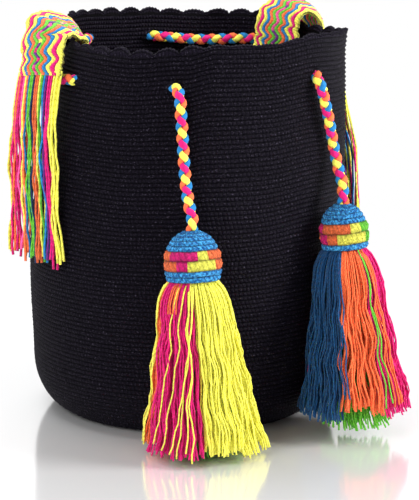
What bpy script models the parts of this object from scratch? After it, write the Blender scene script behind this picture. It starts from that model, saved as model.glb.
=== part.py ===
"""Crochet bucket bag with a braided drawstring, two tassels and a woven shoulder strap.

Metres, +Z up. The origin is the middle of the flat base, on the floor, and the front faces -Y.
An angle round the bag is in degrees from the front, -Y, towards +X.
"""

import math

import bmesh
import bpy
import numpy as np

# Bag body
BASE_RADIUS = 0.092
BASE_ROUND_HEIGHT = 0.042
HIP_RADIUS = 0.121
BELLY_RADIUS = 0.1235
BELLY_HEIGHT = 0.150
RIM_RADIUS = 0.113
RIM_HEIGHT = 0.303
NECK_BELOW_RIM = 0.018
NECK_HEIGHT = RIM_HEIGHT - NECK_BELOW_RIM
WALL = 0.004
LEAN_X = 0.0141
LEAN_Y = -0.0051
LEAN_START = 0.080
LEAN_CURVE = 1.5
NECK_CURVE = 1.5
SLUMP = 0.0012

# Crocheted surface, with several rows to each ridge
RIDGE_PITCH = 0.0225
RIDGE_DEPTH = 0.0014
COLUMNS = 72
ROUNDING_RINGS = 4
INNER_RINGS = 9
INNER_ROUNDING_RINGS = 3

# Scalloped rim: how far its peaks stand over the rim's height at angles round the bag, and how
# tall the scallops are there
RIM_WAVE = (
    (-170, 0.0036, 0.0045),
    (-128, 0.0080, 0.0045),
    (-117, 0.0030, 0.0040),
    (-92, -0.0060, 0.0030),
    (-72, -0.0048, 0.0040),
    (-50, -0.0036, 0.0060),
    (-27, 0.0000, 0.0055),
    (-15, 0.0008, 0.0010),
    (6, 0.0005, 0.0010),
    (26, 0.0050, 0.0022),
    (56, 0.0010, 0.0022),
    (89, -0.0050, 0.0040),
    (101, -0.0085, 0.0040),
    (141, 0.0010, 0.0045),
    (160, -0.0010, 0.0030),
)
SCALLOPS = 36
SCALLOP_STEPS = 4
SCALLOP_ROOT = 0.0015
SCALLOP_ROUNDNESS = 0.7
RIM_CROWN = 0.0010

# Drawstring and its eyelets
CORD_DIAMETER = 0.0094
CORD_GAP = 0.0012
CORD_BELOW_PEAKS = 0.0265
CORD_DIP = 0.0035
CORD_STEP = 0.0185
EYELET_GAP = 0.0008
CLEARANCE = 0.0003

# Shoulder strap
STRAP_WIDTH = 0.051
STRAP_THICKNESS = 0.0036
STRAP_RIDGES = 4
STRAP_RIDGE_DEPTH = 0.0006
STRAP_STEPS = 2
FRINGE_STATIONS = 6
FRINGE_EASE = 0.40
FRINGE_THICKNESS = 0.0060
FRINGE_RIDGES = 7
FRINGE_RIDGE_DEPTH = 0.0012

# Tassels: the cap of each with its angle round the bag and the height of its top
LEFT_CAP = {"angle": -18.5, "radius": 0.0218, "height": 0.0356, "top": 0.1710}
RIGHT_CAP = {"angle": 35.6, "radius": 0.0198, "height": 0.0330, "top": 0.1780}
CAP_WALL = 0.0032
CAP_ROW_DEPTH = 0.0007
CAP_ROWS = 4
CAP_COLUMNS = 16
CAP_FOOT_TUCK = 0.06
CAP_UPRIGHT_SHARE = 0.45
DOME_CURVE = 1.5
DOME_STEPS = 5
KNOT_BELOW_TOP = 0.0200
KNOT_RADIUS = 0.0088
KNOT_LEVELS = 7
KNOT_LOBES = 3
KNOT_LOBE_DEPTH = 0.0012
CORE_SHARE = 0.42
HANK_GAP = 0.0006
HANK_WALL_GAP = 0.0018
SHOULDER_DROP = 0.10
SHOULDER_CURVE = 0.35
SHOULDER_SHARE = 0.28
HANK_RIDGE_DEPTH = 0.0012
YARN_RINGS = (0.0, 0.045, 0.13, 0.27, 0.45, 0.63, 0.80, 0.91, 1.0)
HANK_INNER_STEP = 30

BLACK = (0.012, 0.012, 0.014)
BLUE = (0.010, 0.150, 0.480)
YELLOW = (0.900, 0.850, 0.040)
MAGENTA = (0.680, 0.012, 0.220)
ORANGE = (0.900, 0.120, 0.020)
GREEN = (0.120, 0.480, 0.030)


def eased(share):
    share = min(max(share, 0.0), 1.0)
    return share * share * (3.0 - 2.0 * share)


def curve_through(rows, steps):
    """Points of a smooth curve through the rows, with so many steps from each row to the next."""
    rows = np.array(rows, float)
    ends = np.vstack([2 * rows[0] - rows[1], rows, 2 * rows[-1] - rows[-2]])
    found = []
    for index in range(1, len(ends) - 2):
        before, start, end, after = ends[index - 1 : index + 3]
        for step in range(steps):
            t = step / steps
            found.append(
                start
                + 0.5 * t * (end - before)
                + t * t * (before - 2.5 * start + 2 * end - 0.5 * after)
                + 0.5 * t * t * t * (after - before + 3 * (start - end))
            )
    found.append(rows[-1])
    return np.array(found)


def spaced(points, step):
    """Points along a line, an even step apart."""
    lengths = np.concatenate([[0], np.cumsum(np.linalg.norm(np.diff(points, axis=0), axis=1))])
    count = max(2, round(lengths[-1] / step))
    marks = np.linspace(0, lengths[-1], count + 1)
    return np.column_stack([np.interp(marks, lengths, points[:, axis]) for axis in range(points.shape[1])])


def rim_shape(angle):
    """Rise of the rim and height of its scallops at an angle, eased from one stated angle to the next."""
    angle = (angle + 170) % 360 - 170
    marks = RIM_WAVE + ((RIM_WAVE[0][0] + 360, *RIM_WAVE[0][1:]),)
    for (start, *low), (end, *high) in zip(marks, marks[1:]):
        if start <= angle <= end:
            share = eased((angle - start) / (end - start))
            return [first + (second - first) * share for first, second in zip(low, high)]
    return RIM_WAVE[0][1:]


def rim_peak(angle):
    return RIM_HEIGHT + rim_shape(angle)[0]


def rim_valley(angle):
    rise, scallop = rim_shape(angle)
    return RIM_HEIGHT + rise - scallop


def lean(height):
    share = max(0.0, (height - LEAN_START) / (NECK_HEIGHT - LEAN_START)) ** LEAN_CURVE
    return np.array([LEAN_X * share, LEAN_Y * share])


def side_radius(height):
    """Outer radius of the round wall, from the floor up."""
    if height < BASE_ROUND_HEIGHT:
        rise = 1 - max(height, 0.0) / BASE_ROUND_HEIGHT
        return BASE_RADIUS + (HIP_RADIUS - BASE_RADIUS) * math.sqrt(1 - rise * rise)
    if height < BELLY_HEIGHT:
        share = eased((height - BASE_ROUND_HEIGHT) / (BELLY_HEIGHT - BASE_ROUND_HEIGHT))
        return HIP_RADIUS + (BELLY_RADIUS - HIP_RADIUS) * share
    share = min(1.0, (height - BELLY_HEIGHT) / (NECK_HEIGHT - BELLY_HEIGHT)) ** NECK_CURVE
    return BELLY_RADIUS - (BELLY_RADIUS - RIM_RADIUS) * share


def slump(angle, height):
    """Soft unevenness of the standing wall, none at the floor."""
    turn = math.radians(angle)
    rise = eased(height / BELLY_HEIGHT)
    return SLUMP * rise * (math.sin(3 * turn + 1.1) + 0.6 * math.sin(5 * turn - 20 * height))


def outer_radius(angle, height):
    return side_radius(height) + slump(angle, height)


def place(angle, radius, height):
    """Point at a distance from the leaning middle line."""
    turn = math.radians(angle)
    middle = lean(height)
    return (middle[0] + radius * math.sin(turn), middle[1] - radius * math.cos(turn), height)


def off_wall(angle, distance, height):
    return place(angle, outer_radius(angle, height) + distance, height)


def pushed_clear(point, distance):
    """The point, moved straight out where it lies less than a distance off the wall."""
    middle = lean(point[2])
    out = np.array(point[:2]) - middle
    reach = np.linalg.norm(out)
    angle = math.degrees(math.atan2(out[0], -out[1]))
    least = outer_radius(angle, point[2]) + distance
    if reach >= least:
        return tuple(point)
    out = out / reach * least
    return (middle[0] + out[0], middle[1] + out[1], point[2])


def material(name, colour, roughness):
    made = bpy.data.materials.new(name)
    made.use_nodes = True
    shader = made.node_tree.nodes["Principled BSDF"]
    shader.inputs["Base Color"].default_value = (*colour, 1.0)
    shader.inputs["Roughness"].default_value = roughness
    shader.inputs["Metallic"].default_value = 0.0
    return made


def mesh_object(name, points, faces, finish):
    mesh = bpy.data.meshes.new(name)
    mesh.from_pydata([tuple(map(float, point)) for point in points], [], faces)
    shape = bmesh.new()
    shape.from_mesh(mesh)
    bmesh.ops.recalc_face_normals(shape, faces=shape.faces)
    shape.to_mesh(mesh)
    shape.free()
    mesh.shade_smooth()
    mesh.set_sharp_from_angle(angle=math.radians(50))
    thing = bpy.data.objects.new(name, mesh)
    bpy.context.scene.collection.objects.link(thing)
    if finish:
        mesh.materials.append(finish)
    return thing


def bridged(first, second):
    """Faces between two rings of point numbers, where the second has as many points or twice as many."""
    count = len(first)
    faces = []
    for index in range(count):
        after = (index + 1) % count
        if len(second) == count:
            faces.append((first[index], first[after], second[after], second[index]))
            continue
        low, mid, high = second[2 * index], second[2 * index + 1], second[(2 * index + 2) % len(second)]
        faces.append((first[index], mid, low))
        faces.append((first[index], first[after], mid))
        faces.append((first[after], high, mid))
    return faces


def lofted(rings):
    """Points and faces of a body through rings that all have the same number of points."""
    points = [point for ring in rings for point in ring]
    size = len(rings[0])
    numbers = [list(range(start, start + size)) for start in range(0, len(points), size)]
    faces = []
    for first, second in zip(numbers, numbers[1:]):
        faces.extend(bridged(first, second))
    faces.append(tuple(reversed(numbers[0])))
    faces.append(tuple(numbers[-1]))
    return points, faces


def row_shares():
    """Shares of the way up the standing wall of its outer rings, two to each ridge."""
    top = RIM_HEIGHT + min(rise - scallop for _, rise, scallop in RIM_WAVE)
    count = 2 * round((top - BASE_ROUND_HEIGHT) / RIDGE_PITCH)
    return [index / count for index in range(1, count + 1)]


def make_body():
    angles = [360 * index / COLUMNS - 180 for index in range(COLUMNS)]
    fine = SCALLOPS * SCALLOP_STEPS
    fine_angles = [360 * index / fine - 180 for index in range(fine)]
    points = []

    def ring(where):
        start = len(points)
        points.extend(where)
        return list(range(start, len(points)))

    def rim_ring(depth, rise):
        found = []
        for index, angle in enumerate(fine_angles):
            arch = math.sin(math.pi * (index % SCALLOP_STEPS) / SCALLOP_STEPS) ** SCALLOP_ROUNDNESS
            low = rim_valley(angle)
            height = low + (rim_peak(angle) - low) * arch + rise
            found.append(off_wall(angle, -depth, height))
        return ring(found)

    rings = [ring([(0.0, 0.0, 0.0)])]
    rings.append(ring([place(angle, BASE_RADIUS / 2, 0.0) for angle in angles]))
    rings.append(ring([place(angle, BASE_RADIUS, 0.0) for angle in angles]))
    for index in range(1, ROUNDING_RINGS + 1):
        quarter = math.radians(90 * index / ROUNDING_RINGS)
        height = BASE_ROUND_HEIGHT * (1 - math.cos(quarter))
        bump = -RIDGE_DEPTH if index % 2 == 0 else 0.0
        rings.append(ring([off_wall(angle, bump, height) for angle in angles]))
    for number, share in enumerate(row_shares()):
        bump = 0.0 if number % 2 == 0 else -RIDGE_DEPTH
        row = []
        for angle in angles:
            rise = share * (rim_valley(angle) - SCALLOP_ROOT - BASE_ROUND_HEIGHT)
            row.append(off_wall(angle, bump, BASE_ROUND_HEIGHT + rise))
        rings.append(ring(row))
    rings.append(rim_ring(0.0, 0.0))
    rings.append(rim_ring(WALL / 2, RIM_CROWN))
    rings.append(rim_ring(WALL, 0.0))
    for index in range(INNER_RINGS):
        share = 1 - index / INNER_RINGS
        row = []
        for angle in angles:
            rise = share * (rim_valley(angle) - SCALLOP_ROOT - BASE_ROUND_HEIGHT)
            row.append(off_wall(angle, -WALL, BASE_ROUND_HEIGHT + rise))
        rings.append(ring(row))
    for index in range(INNER_ROUNDING_RINGS - 1, -1, -1):
        quarter = math.radians(90 * index / INNER_ROUNDING_RINGS)
        height = WALL + (BASE_ROUND_HEIGHT - WALL) * (1 - math.cos(quarter))
        inner = BASE_RADIUS + (HIP_RADIUS - WALL - BASE_RADIUS) * math.sin(quarter)
        rings.append(ring([place(angle, inner, height) for angle in angles]))
    rings.append(ring([(0.0, 0.0, WALL)]))

    faces = []
    for first, second in zip(rings, rings[1:]):
        if len(first) == 1:
            faces.extend((first[0], second[(n + 1) % COLUMNS], second[n]) for n in range(COLUMNS))
        elif len(second) == 1:
            faces.extend((first[n], first[(n + 1) % COLUMNS], second[0]) for n in range(COLUMNS))
        elif len(first) > len(second):
            faces.extend(tuple(reversed(face)) for face in bridged(second, first))
        else:
            faces.extend(bridged(first, second))
    body = mesh_object("bag_body", points, faces, material("black_crochet", BLACK, 0.85))
    for index, cutter in enumerate(eyelet_cutters()):
        hole = body.modifiers.new(f"eyelet_{index}", "BOOLEAN")
        hole.operation = "DIFFERENCE"
        hole.solver = "EXACT"
        hole.object = cutter
    return body


# Where the drawstring lies across the wall
OUTSIDE = CORD_DIAMETER / 2 + CORD_GAP
INSIDE = -(WALL + CORD_DIAMETER / 2 + CORD_GAP)
IN_WALL = -WALL / 2


def cap_distance(cap):
    return cap["radius"] + CLEARANCE


def knot_reach():
    """How far the knot's flat top and foot stand from its middle."""
    return KNOT_RADIUS * math.cos(math.pi / KNOT_LEVELS)


def cord_height(angle):
    """Height of the drawstring along the wall, which dips a little towards the front."""
    return rim_peak(angle) - CORD_BELOW_PEAKS - CORD_DIP * math.cos(math.radians(angle))


# The drawstring's route between its caps, from the left one round the bag to the right one, as
# angle and distance off the wall, and height on the tails
LEFT_TAIL = (
    (-19.2, 0.0205, 0.1800),
    (-20.3, 0.0165, 0.1880),
    (-21.6, 0.0108, 0.1990),
    (-22.7, 0.0085, 0.2110),
    (-23.7, 0.0078, 0.2244),
    (-24.8, 0.0078, 0.2392),
    (-26.0, 0.0078, 0.2539),
    (-27.4, 0.0072, 0.2680),
)
RIGHT_TAIL = (
    (28.2, 0.0072, 0.2690),
    (30.7, 0.0078, 0.2565),
    (33.7, 0.0078, 0.2418),
    (36.5, 0.0078, 0.2255),
    (38.0, 0.0088, 0.2135),
    (38.0, 0.0122, 0.2020),
    (36.9, 0.0172, 0.1920),
)
WOVEN = (
    (-31, IN_WALL),
    (-40, INSIDE),
    (-53, INSIDE),
    (-66, INSIDE),
    (-75, IN_WALL),
    (-84, OUTSIDE),
    (-94, OUTSIDE),
    (-104, OUTSIDE),
    (-113, IN_WALL),
    (-122, INSIDE),
    (-134, INSIDE),
    (-143, IN_WALL),
    (-152, OUTSIDE),
    (-165, OUTSIDE),
    (-174, IN_WALL),
    (-183, INSIDE),
    (-199, INSIDE),
    (-215, INSIDE),
    (-224, IN_WALL),
    (-233, OUTSIDE),
    (-243, OUTSIDE),
    (-253, OUTSIDE),
    (-262, IN_WALL),
    (-271, INSIDE),
    (-290, INSIDE),
    (-306, INSIDE),
    (-321, INSIDE),
    (-330, IN_WALL),
)


def cap_middle(cap):
    """Foot of the cap's upright middle line, far enough off the wall all the way up."""
    base = cap["top"] - cap["height"]
    spots = [off_wall(cap["angle"], cap_distance(cap), base + share * cap["height"]) for share in (0, 0.5, 1)]
    return np.array(max(spots, key=lambda spot: math.hypot(spot[0], spot[1]))[:2])


def cord_route():
    """The drawstring's own points: down into each cap, and in between along the wall."""
    woven = [off_wall(angle, distance, cord_height(angle)) for angle, distance in WOVEN]
    ends = []
    for cap in (LEFT_CAP, RIGHT_CAP):
        low = cap["top"] - KNOT_BELOW_TOP + knot_reach() + CLEARANCE
        middle = cap_middle(cap)
        ends.append([(*middle, low), (*middle, cap["top"]), (*middle, cap["top"] + CORD_DIAMETER)])
    tails = [[off_wall(*row) for row in tail] for tail in (LEFT_TAIL, RIGHT_TAIL)]
    return [*ends[0], *tails[0], *woven, *tails[1], *reversed(ends[1])]


def cord_points():
    return spaced(curve_through(cord_route(), 12), CORD_STEP)


def tube(points, radius, sides):
    """Closed round tube, with a ring square to the line at each of its points."""
    points = np.array(points)
    along = np.gradient(points, axis=0)
    along /= np.linalg.norm(along, axis=1)[:, None]
    rings = []
    for point, forward in zip(points, along):
        side = np.cross(forward, (0.0, 0.0, 1.0))
        side /= np.linalg.norm(side)
        up = np.cross(side, forward)
        turns = [math.tau * step / sides for step in range(sides)]
        rings.append([point + radius * (math.cos(turn) * side + math.sin(turn) * up) for turn in turns])
    return lofted(rings)


def eyelet_cutters():
    """One short tube a little wider than the drawstring at each place where it goes through the wall."""
    points = cord_points()
    cutters = []
    for angle, distance in WOVEN:
        if distance != IN_WALL:
            continue
        middle = np.array(off_wall(angle, distance, cord_height(angle)))
        away = np.linalg.norm(points - middle, axis=1)
        near = int(np.argmin(away))
        stretch = points[max(near - 2, 0) : near + 3]
        shape = tube(stretch, CORD_DIAMETER / 2 + EYELET_GAP, 10)
        cutter = mesh_object(f"eyelet_cutter_{len(cutters)}", *shape, None)
        cutter.hide_render = True
        cutter.display_type = "WIRE"
        cutters.append(cutter)
    return cutters


def make_drawstring():
    curve = bpy.data.curves.new("drawstring", "CURVE")
    curve.dimensions = "3D"
    curve.bevel_depth = CORD_DIAMETER / 2
    curve.bevel_resolution = 2
    curve.use_fill_caps = True
    points = cord_points()
    spline = curve.splines.new("POLY")
    spline.points.add(len(points) - 1)
    for spot, point in zip(spline.points, points):
        spot.co = (*point, 1.0)
    thing = bpy.data.objects.new("drawstring", curve)
    bpy.context.scene.collection.objects.link(thing)
    curve.materials.append(material("braided_yarn", ORANGE, 0.8))


# The strap's middle line: angle, distance off the wall's outside, height, the direction of its
# width, the degrees by which its front edge dips and how far its middle bulges. The loops over the
# rim have their heights from the rim's height, the rest from the floor
STRAP_BOTTOM = WALL + STRAP_THICKNESS / 2 + STRAP_RIDGE_DEPTH + CLEARANCE
STRAP_SAG_GAP = 0.0010
LEFT_LOOP = (
    (-88.6, 0.0192, -0.0320, -68.5, -3, -0.004),
    (-90.4, 0.0180, -0.0186, -68.9, -2, -0.005),
    (-91.6, 0.0175, -0.0104, -69.5, 1, -0.005),
    (-93.5, 0.0159, -0.0040, -73, 9, -0.005),
    (-94.5, 0.0129, 0.0018, -73, 11, -0.004),
    (-97, 0.0065, 0.0036, -76, 17, -0.002),
    (-102.5, -0.0045, 0.0022, -95, 13, 0.0),
    (-105, -0.0140, -0.0040, -98, 8, 0.0),
    (-105, -0.0174, -0.0200, -106, 2, 0.0),
    (-105, -0.0180, -0.0350, -107, 0, 0.0),
)
STRAP_INSIDE = (
    (-104, -0.0187, 0.2300, -105, 0, 0.0),
    (-102, -0.0200, 0.1900, -98, 0, 0.0),
    (-101, -0.0244, 0.1000, -88, 0, 0.0),
    (-100, -0.0280, 0.0500, -88, 0, 0.0),
    (-98, -0.0371, 0.0210, -88, 0, 0.0),
    (-96, -0.0537, STRAP_BOTTOM + STRAP_SAG_GAP, -88, 0, 0.0),
    (-90, -0.0827, STRAP_BOTTOM, -87, 0, 0.0),
    (90, -0.0977, STRAP_BOTTOM, -86, 0, 0.0),
    (100, -0.0607, STRAP_BOTTOM + STRAP_SAG_GAP, -85, 0, 0.0),
    (106, -0.0403, 0.0190, -84, 0, 0.0),
    (110, -0.0290, 0.0480, -83, 0, 0.0),
    (113, -0.0244, 0.1000, -82, 0, 0.0),
    (116, -0.0269, 0.1700, -80, 0, 0.0),
)
RIGHT_LOOP = (
    (119, -0.0210, -0.0700, -68, 0, 0.0),
    (122, -0.0165, -0.0400, -65, -3, -0.001),
    (121.8, -0.0157, -0.0199, -69, -3, -0.001),
    (122.6, -0.0153, -0.0078, -69.5, 0, -0.001),
    (121.9, -0.0120, 0.0026, -71, 1, 0.0),
    (120.7, -0.0035, 0.0060, -75, 5, -0.002),
    (119.2, 0.0045, 0.0048, -81, 9, -0.004),
    (118, 0.0120, -0.0010, -84, 13, -0.005),
    (117.4, 0.0158, -0.0110, -86, 8, -0.005),
    (116.6, 0.0185, -0.0220, -84, 4, -0.005),
    (115, 0.0195, -0.0320, -80, 0, -0.004),
)

# Where the lower corners of each fringe hang: angle and distance off the wall, and how far below
# the strap's end
LEFT_FRINGE = {"near": (-68.7, 0.0060), "far": (-94.5, 0.0185), "drop": 0.139}
RIGHT_FRINGE = {"near": (84.0, 0.0190), "far": (105.0, 0.0170), "drop": 0.124}


def strap_route():
    """Points of the strap's middle line with its width's direction, dip and bulge, from end to end."""
    rows = []
    for part, level in ((LEFT_LOOP, RIM_HEIGHT), (STRAP_INSIDE, 0.0), (RIGHT_LOOP, RIM_HEIGHT)):
        for angle, distance, rise, *turn in part:
            height = level + rise
            rows.append((*place(angle, side_radius(height) + distance, height), *turn))
    return rows


def strap_frames():
    """Middle, width direction, face direction and bulge of the strap, station by station."""
    found = curve_through(strap_route(), STRAP_STEPS)
    middle = found[:, :3]
    along = np.gradient(middle, axis=0)
    along /= np.linalg.norm(along, axis=1)[:, None]
    frames = []
    for point, forward, (facing, dip, bulge) in zip(middle, along, found[:, 3:]):
        facing, dip = math.radians(facing), math.radians(dip)
        level = math.cos(dip)
        across = np.array([math.cos(facing) * level, math.sin(facing) * level, -math.sin(dip)])
        face = np.cross(forward, across)
        face /= np.linalg.norm(face)
        frames.append((point, np.cross(face, forward), face, bulge))
    return frames


def bowed_half_width(bulge):
    """Half of the straight distance between the edges of the strap where its middle bulges."""
    return STRAP_WIDTH / 2 - 4 / 3 * bulge * bulge / STRAP_WIDTH


def make_strap():
    rings = []
    for point, across, face, bulge in strap_frames():
        upper = []
        lower = []
        for step in range(2 * STRAP_RIDGES + 1):
            side = step / STRAP_RIDGES - 1
            groove = STRAP_RIDGE_DEPTH if step % 2 else 0.0
            place_across = point + across * side * bowed_half_width(bulge) + face * bulge * (1 - side * side)
            if step in (0, 2 * STRAP_RIDGES):
                groove = STRAP_THICKNESS / 4
            upper.append(place_across + face * (STRAP_THICKNESS / 2 - groove))
            if step % 2 == 0:
                lower.append(place_across - face * (STRAP_THICKNESS / 2 - min(groove, STRAP_THICKNESS / 4)))
        rings.append(upper + lower[::-1])
    mesh_object("shoulder_strap", *lofted(rings), material("woven_stripes", MAGENTA, 0.75))


def hanging_edge(start, down, end, share):
    """Point of a yarn that leaves the strap's end along the strap and comes to hang straight down."""
    reach = FRINGE_EASE * np.linalg.norm(end - start)
    leaving = start + down * reach
    hanging = end + np.array([0.0, 0.0, reach])
    rest = 1 - share
    return rest**3 * start + 3 * rest**2 * share * leaving + 3 * rest * share**2 * hanging + share**3 * end


def make_fringe(name, end, neighbour, corners, finish):
    """Yarn ends that hang from the strap's end, at its last two stations, against the bag."""
    point, across, face, bulge = end
    outward = np.array([*(point[:2] - lean(point[2])), 0.0])
    outward /= np.linalg.norm(outward)
    down = (point - neighbour[0]) / np.linalg.norm(point - neighbour[0])
    begin = point + down * CLEARANCE
    low = point[2] - corners["drop"]
    near_end, far_end = (np.array(off_wall(*corners[side], low)) for side in ("near", "far"))
    half = across * bowed_half_width(bulge)
    inward = face * bulge
    rings = []
    for index in range(FRINGE_STATIONS + 1):
        share = index / FRINGE_STATIONS
        near = hanging_edge(begin + half, down, near_end, share)
        far = hanging_edge(begin - half, down, far_end, share)
        fall = down * (1 - eased(2 * share)) - np.array([0.0, 0.0, eased(2 * share)])
        front = np.cross(fall, near - far)
        front /= np.linalg.norm(front)
        front *= 1 if np.dot(front, outward) > 0 else -1
        thick = STRAP_THICKNESS + (FRINGE_THICKNESS - STRAP_THICKNESS) * eased(3 * share)
        outer = []
        inner = []
        for step in range(2 * FRINGE_RIDGES + 1):
            side = step / FRINGE_RIDGES - 1
            groove = FRINGE_RIDGE_DEPTH if step % 2 else 0.0
            if step in (0, 2 * FRINGE_RIDGES):
                groove = thick / 3
            spot = (near + far) / 2 + (near - far) / 2 * side + inward * (1 - side * side) * (1 - eased(2 * share))
            outer.append(spot + front * (thick / 2 - groove))
            if step % 3 == 0:
                inner.append(spot - front * thick / 2)
        ring = outer + inner[::-1]
        off = max(np.linalg.norm(np.array(pushed_clear(p, CLEARANCE))[:2] - p[:2]) for p in ring)
        rings.append([p + outward * off for p in ring])
    mesh_object(name, *lofted(rings), finish)


def cap_profile(cap, inset):
    """Radius and height of the cap from its foot to the edge of the cord's hole, with a ridge per row."""
    hole = CORD_DIAMETER / 2 + EYELET_GAP
    radius = cap["radius"] - inset
    upright = CAP_UPRIGHT_SHARE * cap["height"]
    found = []
    steps = 2 * CAP_ROWS
    for step in range(steps + 1):
        share = step / steps
        groove = CAP_ROW_DEPTH if step % 2 and inset == 0 else 0.0
        tuck = CAP_FOOT_TUCK * radius * (1 - eased(4 * share))
        found.append((radius - tuck - groove, share * upright))
    dome = cap["height"] - upright - inset
    for step in range(1, DOME_STEPS + 1):
        share = step / DOME_STEPS
        groove = CAP_ROW_DEPTH if step in (2, 4) and inset == 0 else 0.0
        out = hole + (radius - hole) * (1 - share**DOME_CURVE) - groove
        found.append((out, upright + dome * share))
    return found


def make_cap(name, cap):
    middle = cap_middle(cap)
    base = cap["top"] - cap["height"]
    outer = cap_profile(cap, 0.0)
    inner = cap_profile(cap, CAP_WALL)[::-2][::-1]
    loop = outer + inner[::-1]
    rings = []
    for radius, height in loop:
        turns = [math.tau * step / CAP_COLUMNS for step in range(CAP_COLUMNS)]
        rings.append(
            [
                (middle[0] + radius * math.cos(turn), middle[1] + radius * math.sin(turn), base + height)
                for turn in turns
            ]
        )
    points = [point for ring in rings for point in ring]
    numbers = [list(range(start, start + CAP_COLUMNS)) for start in range(0, len(points), CAP_COLUMNS)]
    faces = []
    for first, second in zip(numbers, numbers[1:] + numbers[:1]):
        faces.extend(bridged(first, second))
    mesh_object(name, points, faces, material(name, BLUE, 0.85))


def make_knot(name, cap):
    """The knot that keeps the cap on the drawstring, a lobed ball inside the cap."""
    middle = cap_middle(cap)
    height = cap["top"] - KNOT_BELOW_TOP
    around = 4 * KNOT_LOBES
    rings = []
    for level in range(1, KNOT_LEVELS):
        polar = math.pi * level / KNOT_LEVELS
        ring = []
        for step in range(around):
            turn = math.tau * step / around
            lobe = KNOT_LOBE_DEPTH * math.sin(polar) * (1 + math.cos(KNOT_LOBES * turn)) / 2
            radius = (KNOT_RADIUS - lobe) * math.sin(polar)
            rise = KNOT_RADIUS * math.cos(polar)
            ring.append((middle[0] + radius * math.cos(turn), middle[1] + radius * math.sin(turn), height + rise))
        rings.append(ring)
    mesh_object(name, *lofted(rings), material(name, ORANGE, 0.8))


def skirt_middle(cap, skirt, height):
    """The yarn's middle drifts from under the cap to where the ends stand."""
    neck = cap["top"] - cap["height"]
    start = cap_middle(cap)
    end = np.array(skirt["foot"])
    return start + (end - start) * min(1.0, max(0.0, (neck - height) / neck))


def skirt_radius(cap, skirt, height):
    """Outer radius of the yarn: gathered under the cap, then spreading to its ends."""
    neck = cap["top"] - cap["height"]
    gathered = (cap["radius"] - CAP_WALL) * (1 - CAP_FOOT_TUCK) - 3 * CLEARANCE
    if height >= neck:
        return gathered
    share = (neck - height) / neck
    shoulder = min(1.0, share / SHOULDER_DROP) ** SHOULDER_CURVE
    return gathered + (skirt["spread"] - gathered) * (SHOULDER_SHARE * shoulder + (1 - SHOULDER_SHARE) * share)


def yarn_heights(cap, bottom):
    """Heights of a hank's rings: under the knot, at the cap's foot, and on down to the ends."""
    top = cap["top"] - KNOT_BELOW_TOP - knot_reach() - CLEARANCE
    neck = cap["top"] - cap["height"]
    return [top] + [neck + (bottom - neck) * share for share in YARN_RINGS]


def hank_rings(cap, skirt, start, end, bottom):
    """Rings of one colour of yarn, a slice of the skirt between two angles, from the cap down."""
    steps = max(4, round((end - start) / 13))
    inner_steps = math.ceil((end - start) / HANK_INNER_STEP)
    flat = math.cos(math.radians((end - start) / inner_steps / 2))
    rings = []
    for index, height in enumerate(yarn_heights(cap, bottom)):
        radius = skirt_radius(cap, skirt, height)
        core = CORE_SHARE * radius
        middle = skirt_middle(cap, skirt, height)
        trim = math.degrees(HANK_GAP / 2 / max(core, 1e-3))
        outer = []
        for step in range(steps + 1):
            turn = math.radians(start + trim + (end - start - 2 * trim) * step / steps)
            groove = HANK_RIDGE_DEPTH if step % 2 and index > 1 else 0.0
            spot = middle + (radius - groove) * np.array([math.sin(turn), -math.cos(turn)])
            outer.append(pushed_clear((*spot, height), HANK_WALL_GAP))
        inner = []
        for step in range(inner_steps + 1):
            turn = math.radians(start + trim + (end - start - 2 * trim) * step / inner_steps)
            spot = middle + (core + HANK_GAP) / flat * np.array([math.sin(turn), -math.cos(turn)])
            inner.append(pushed_clear((*spot, height), HANK_WALL_GAP - HANK_GAP))
        rings.append(outer + inner[::-1])
    return rings


def core_rings(cap, skirt):
    rings = []
    for height in yarn_heights(cap, skirt["core_bottom"]):
        radius = CORE_SHARE * skirt_radius(cap, skirt, height)
        middle = skirt_middle(cap, skirt, height)
        turns = [math.tau * step / 12 for step in range(12)]
        rings.append([(*(middle + radius * np.array([math.cos(t), math.sin(t)])), height) for t in turns])
    return rings


LEFT_SKIRT = {
    "foot": (-0.0335, -0.1440),
    "spread": 0.0465,
    "core": ("green", GREEN),
    "core_bottom": 0.0008,
    "hanks": (
        ("magenta", MAGENTA, -95, -22, 0.0040),
        ("yellow", YELLOW, -22, 100, 0.0030),
        ("orange", ORANGE, 100, 265, 0.0040),
    ),
}
RIGHT_SKIRT = {
    "foot": (0.0925, -0.1384),
    "spread": 0.0465,
    "core": ("green", GREEN),
    "core_bottom": 0.0040,
    "hanks": (
        ("blue", BLUE, -100, -22, 0.0160),
        ("orange", ORANGE, -22, 52, 0.0220),
        ("magenta", MAGENTA, 52, 260, 0.0200),
    ),
}


def make_tassel(side, cap, skirt):
    make_cap(f"tassel_{side}_cap", cap)
    make_knot(f"tassel_{side}_knot", cap)
    name, colour = skirt["core"]
    core_name = f"tassel_{side}_yarn_{name}"
    mesh_object(core_name, *lofted(core_rings(cap, skirt)), material(core_name, colour, 0.8))
    for name, colour, start, end, bottom in skirt["hanks"]:
        hank = f"tassel_{side}_yarn_{name}"
        rings = hank_rings(cap, skirt, start, end, bottom)
        mesh_object(hank, *lofted(rings), material(hank, colour, 0.8))


def main():
    for thing in list(bpy.data.objects):
        bpy.data.objects.remove(thing)
    make_body()
    make_drawstring()
    make_strap()
    ends = strap_frames()
    make_fringe("strap_fringe_left", *ends[:2], LEFT_FRINGE, material("fringe_left", YELLOW, 0.8))
    make_fringe("strap_fringe_right", *ends[:-3:-1], RIGHT_FRINGE, material("fringe_right", MAGENTA, 0.8))
    make_tassel("left", LEFT_CAP, LEFT_SKIRT)
    make_tassel("right", RIGHT_CAP, RIGHT_SKIRT)


main()
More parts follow.
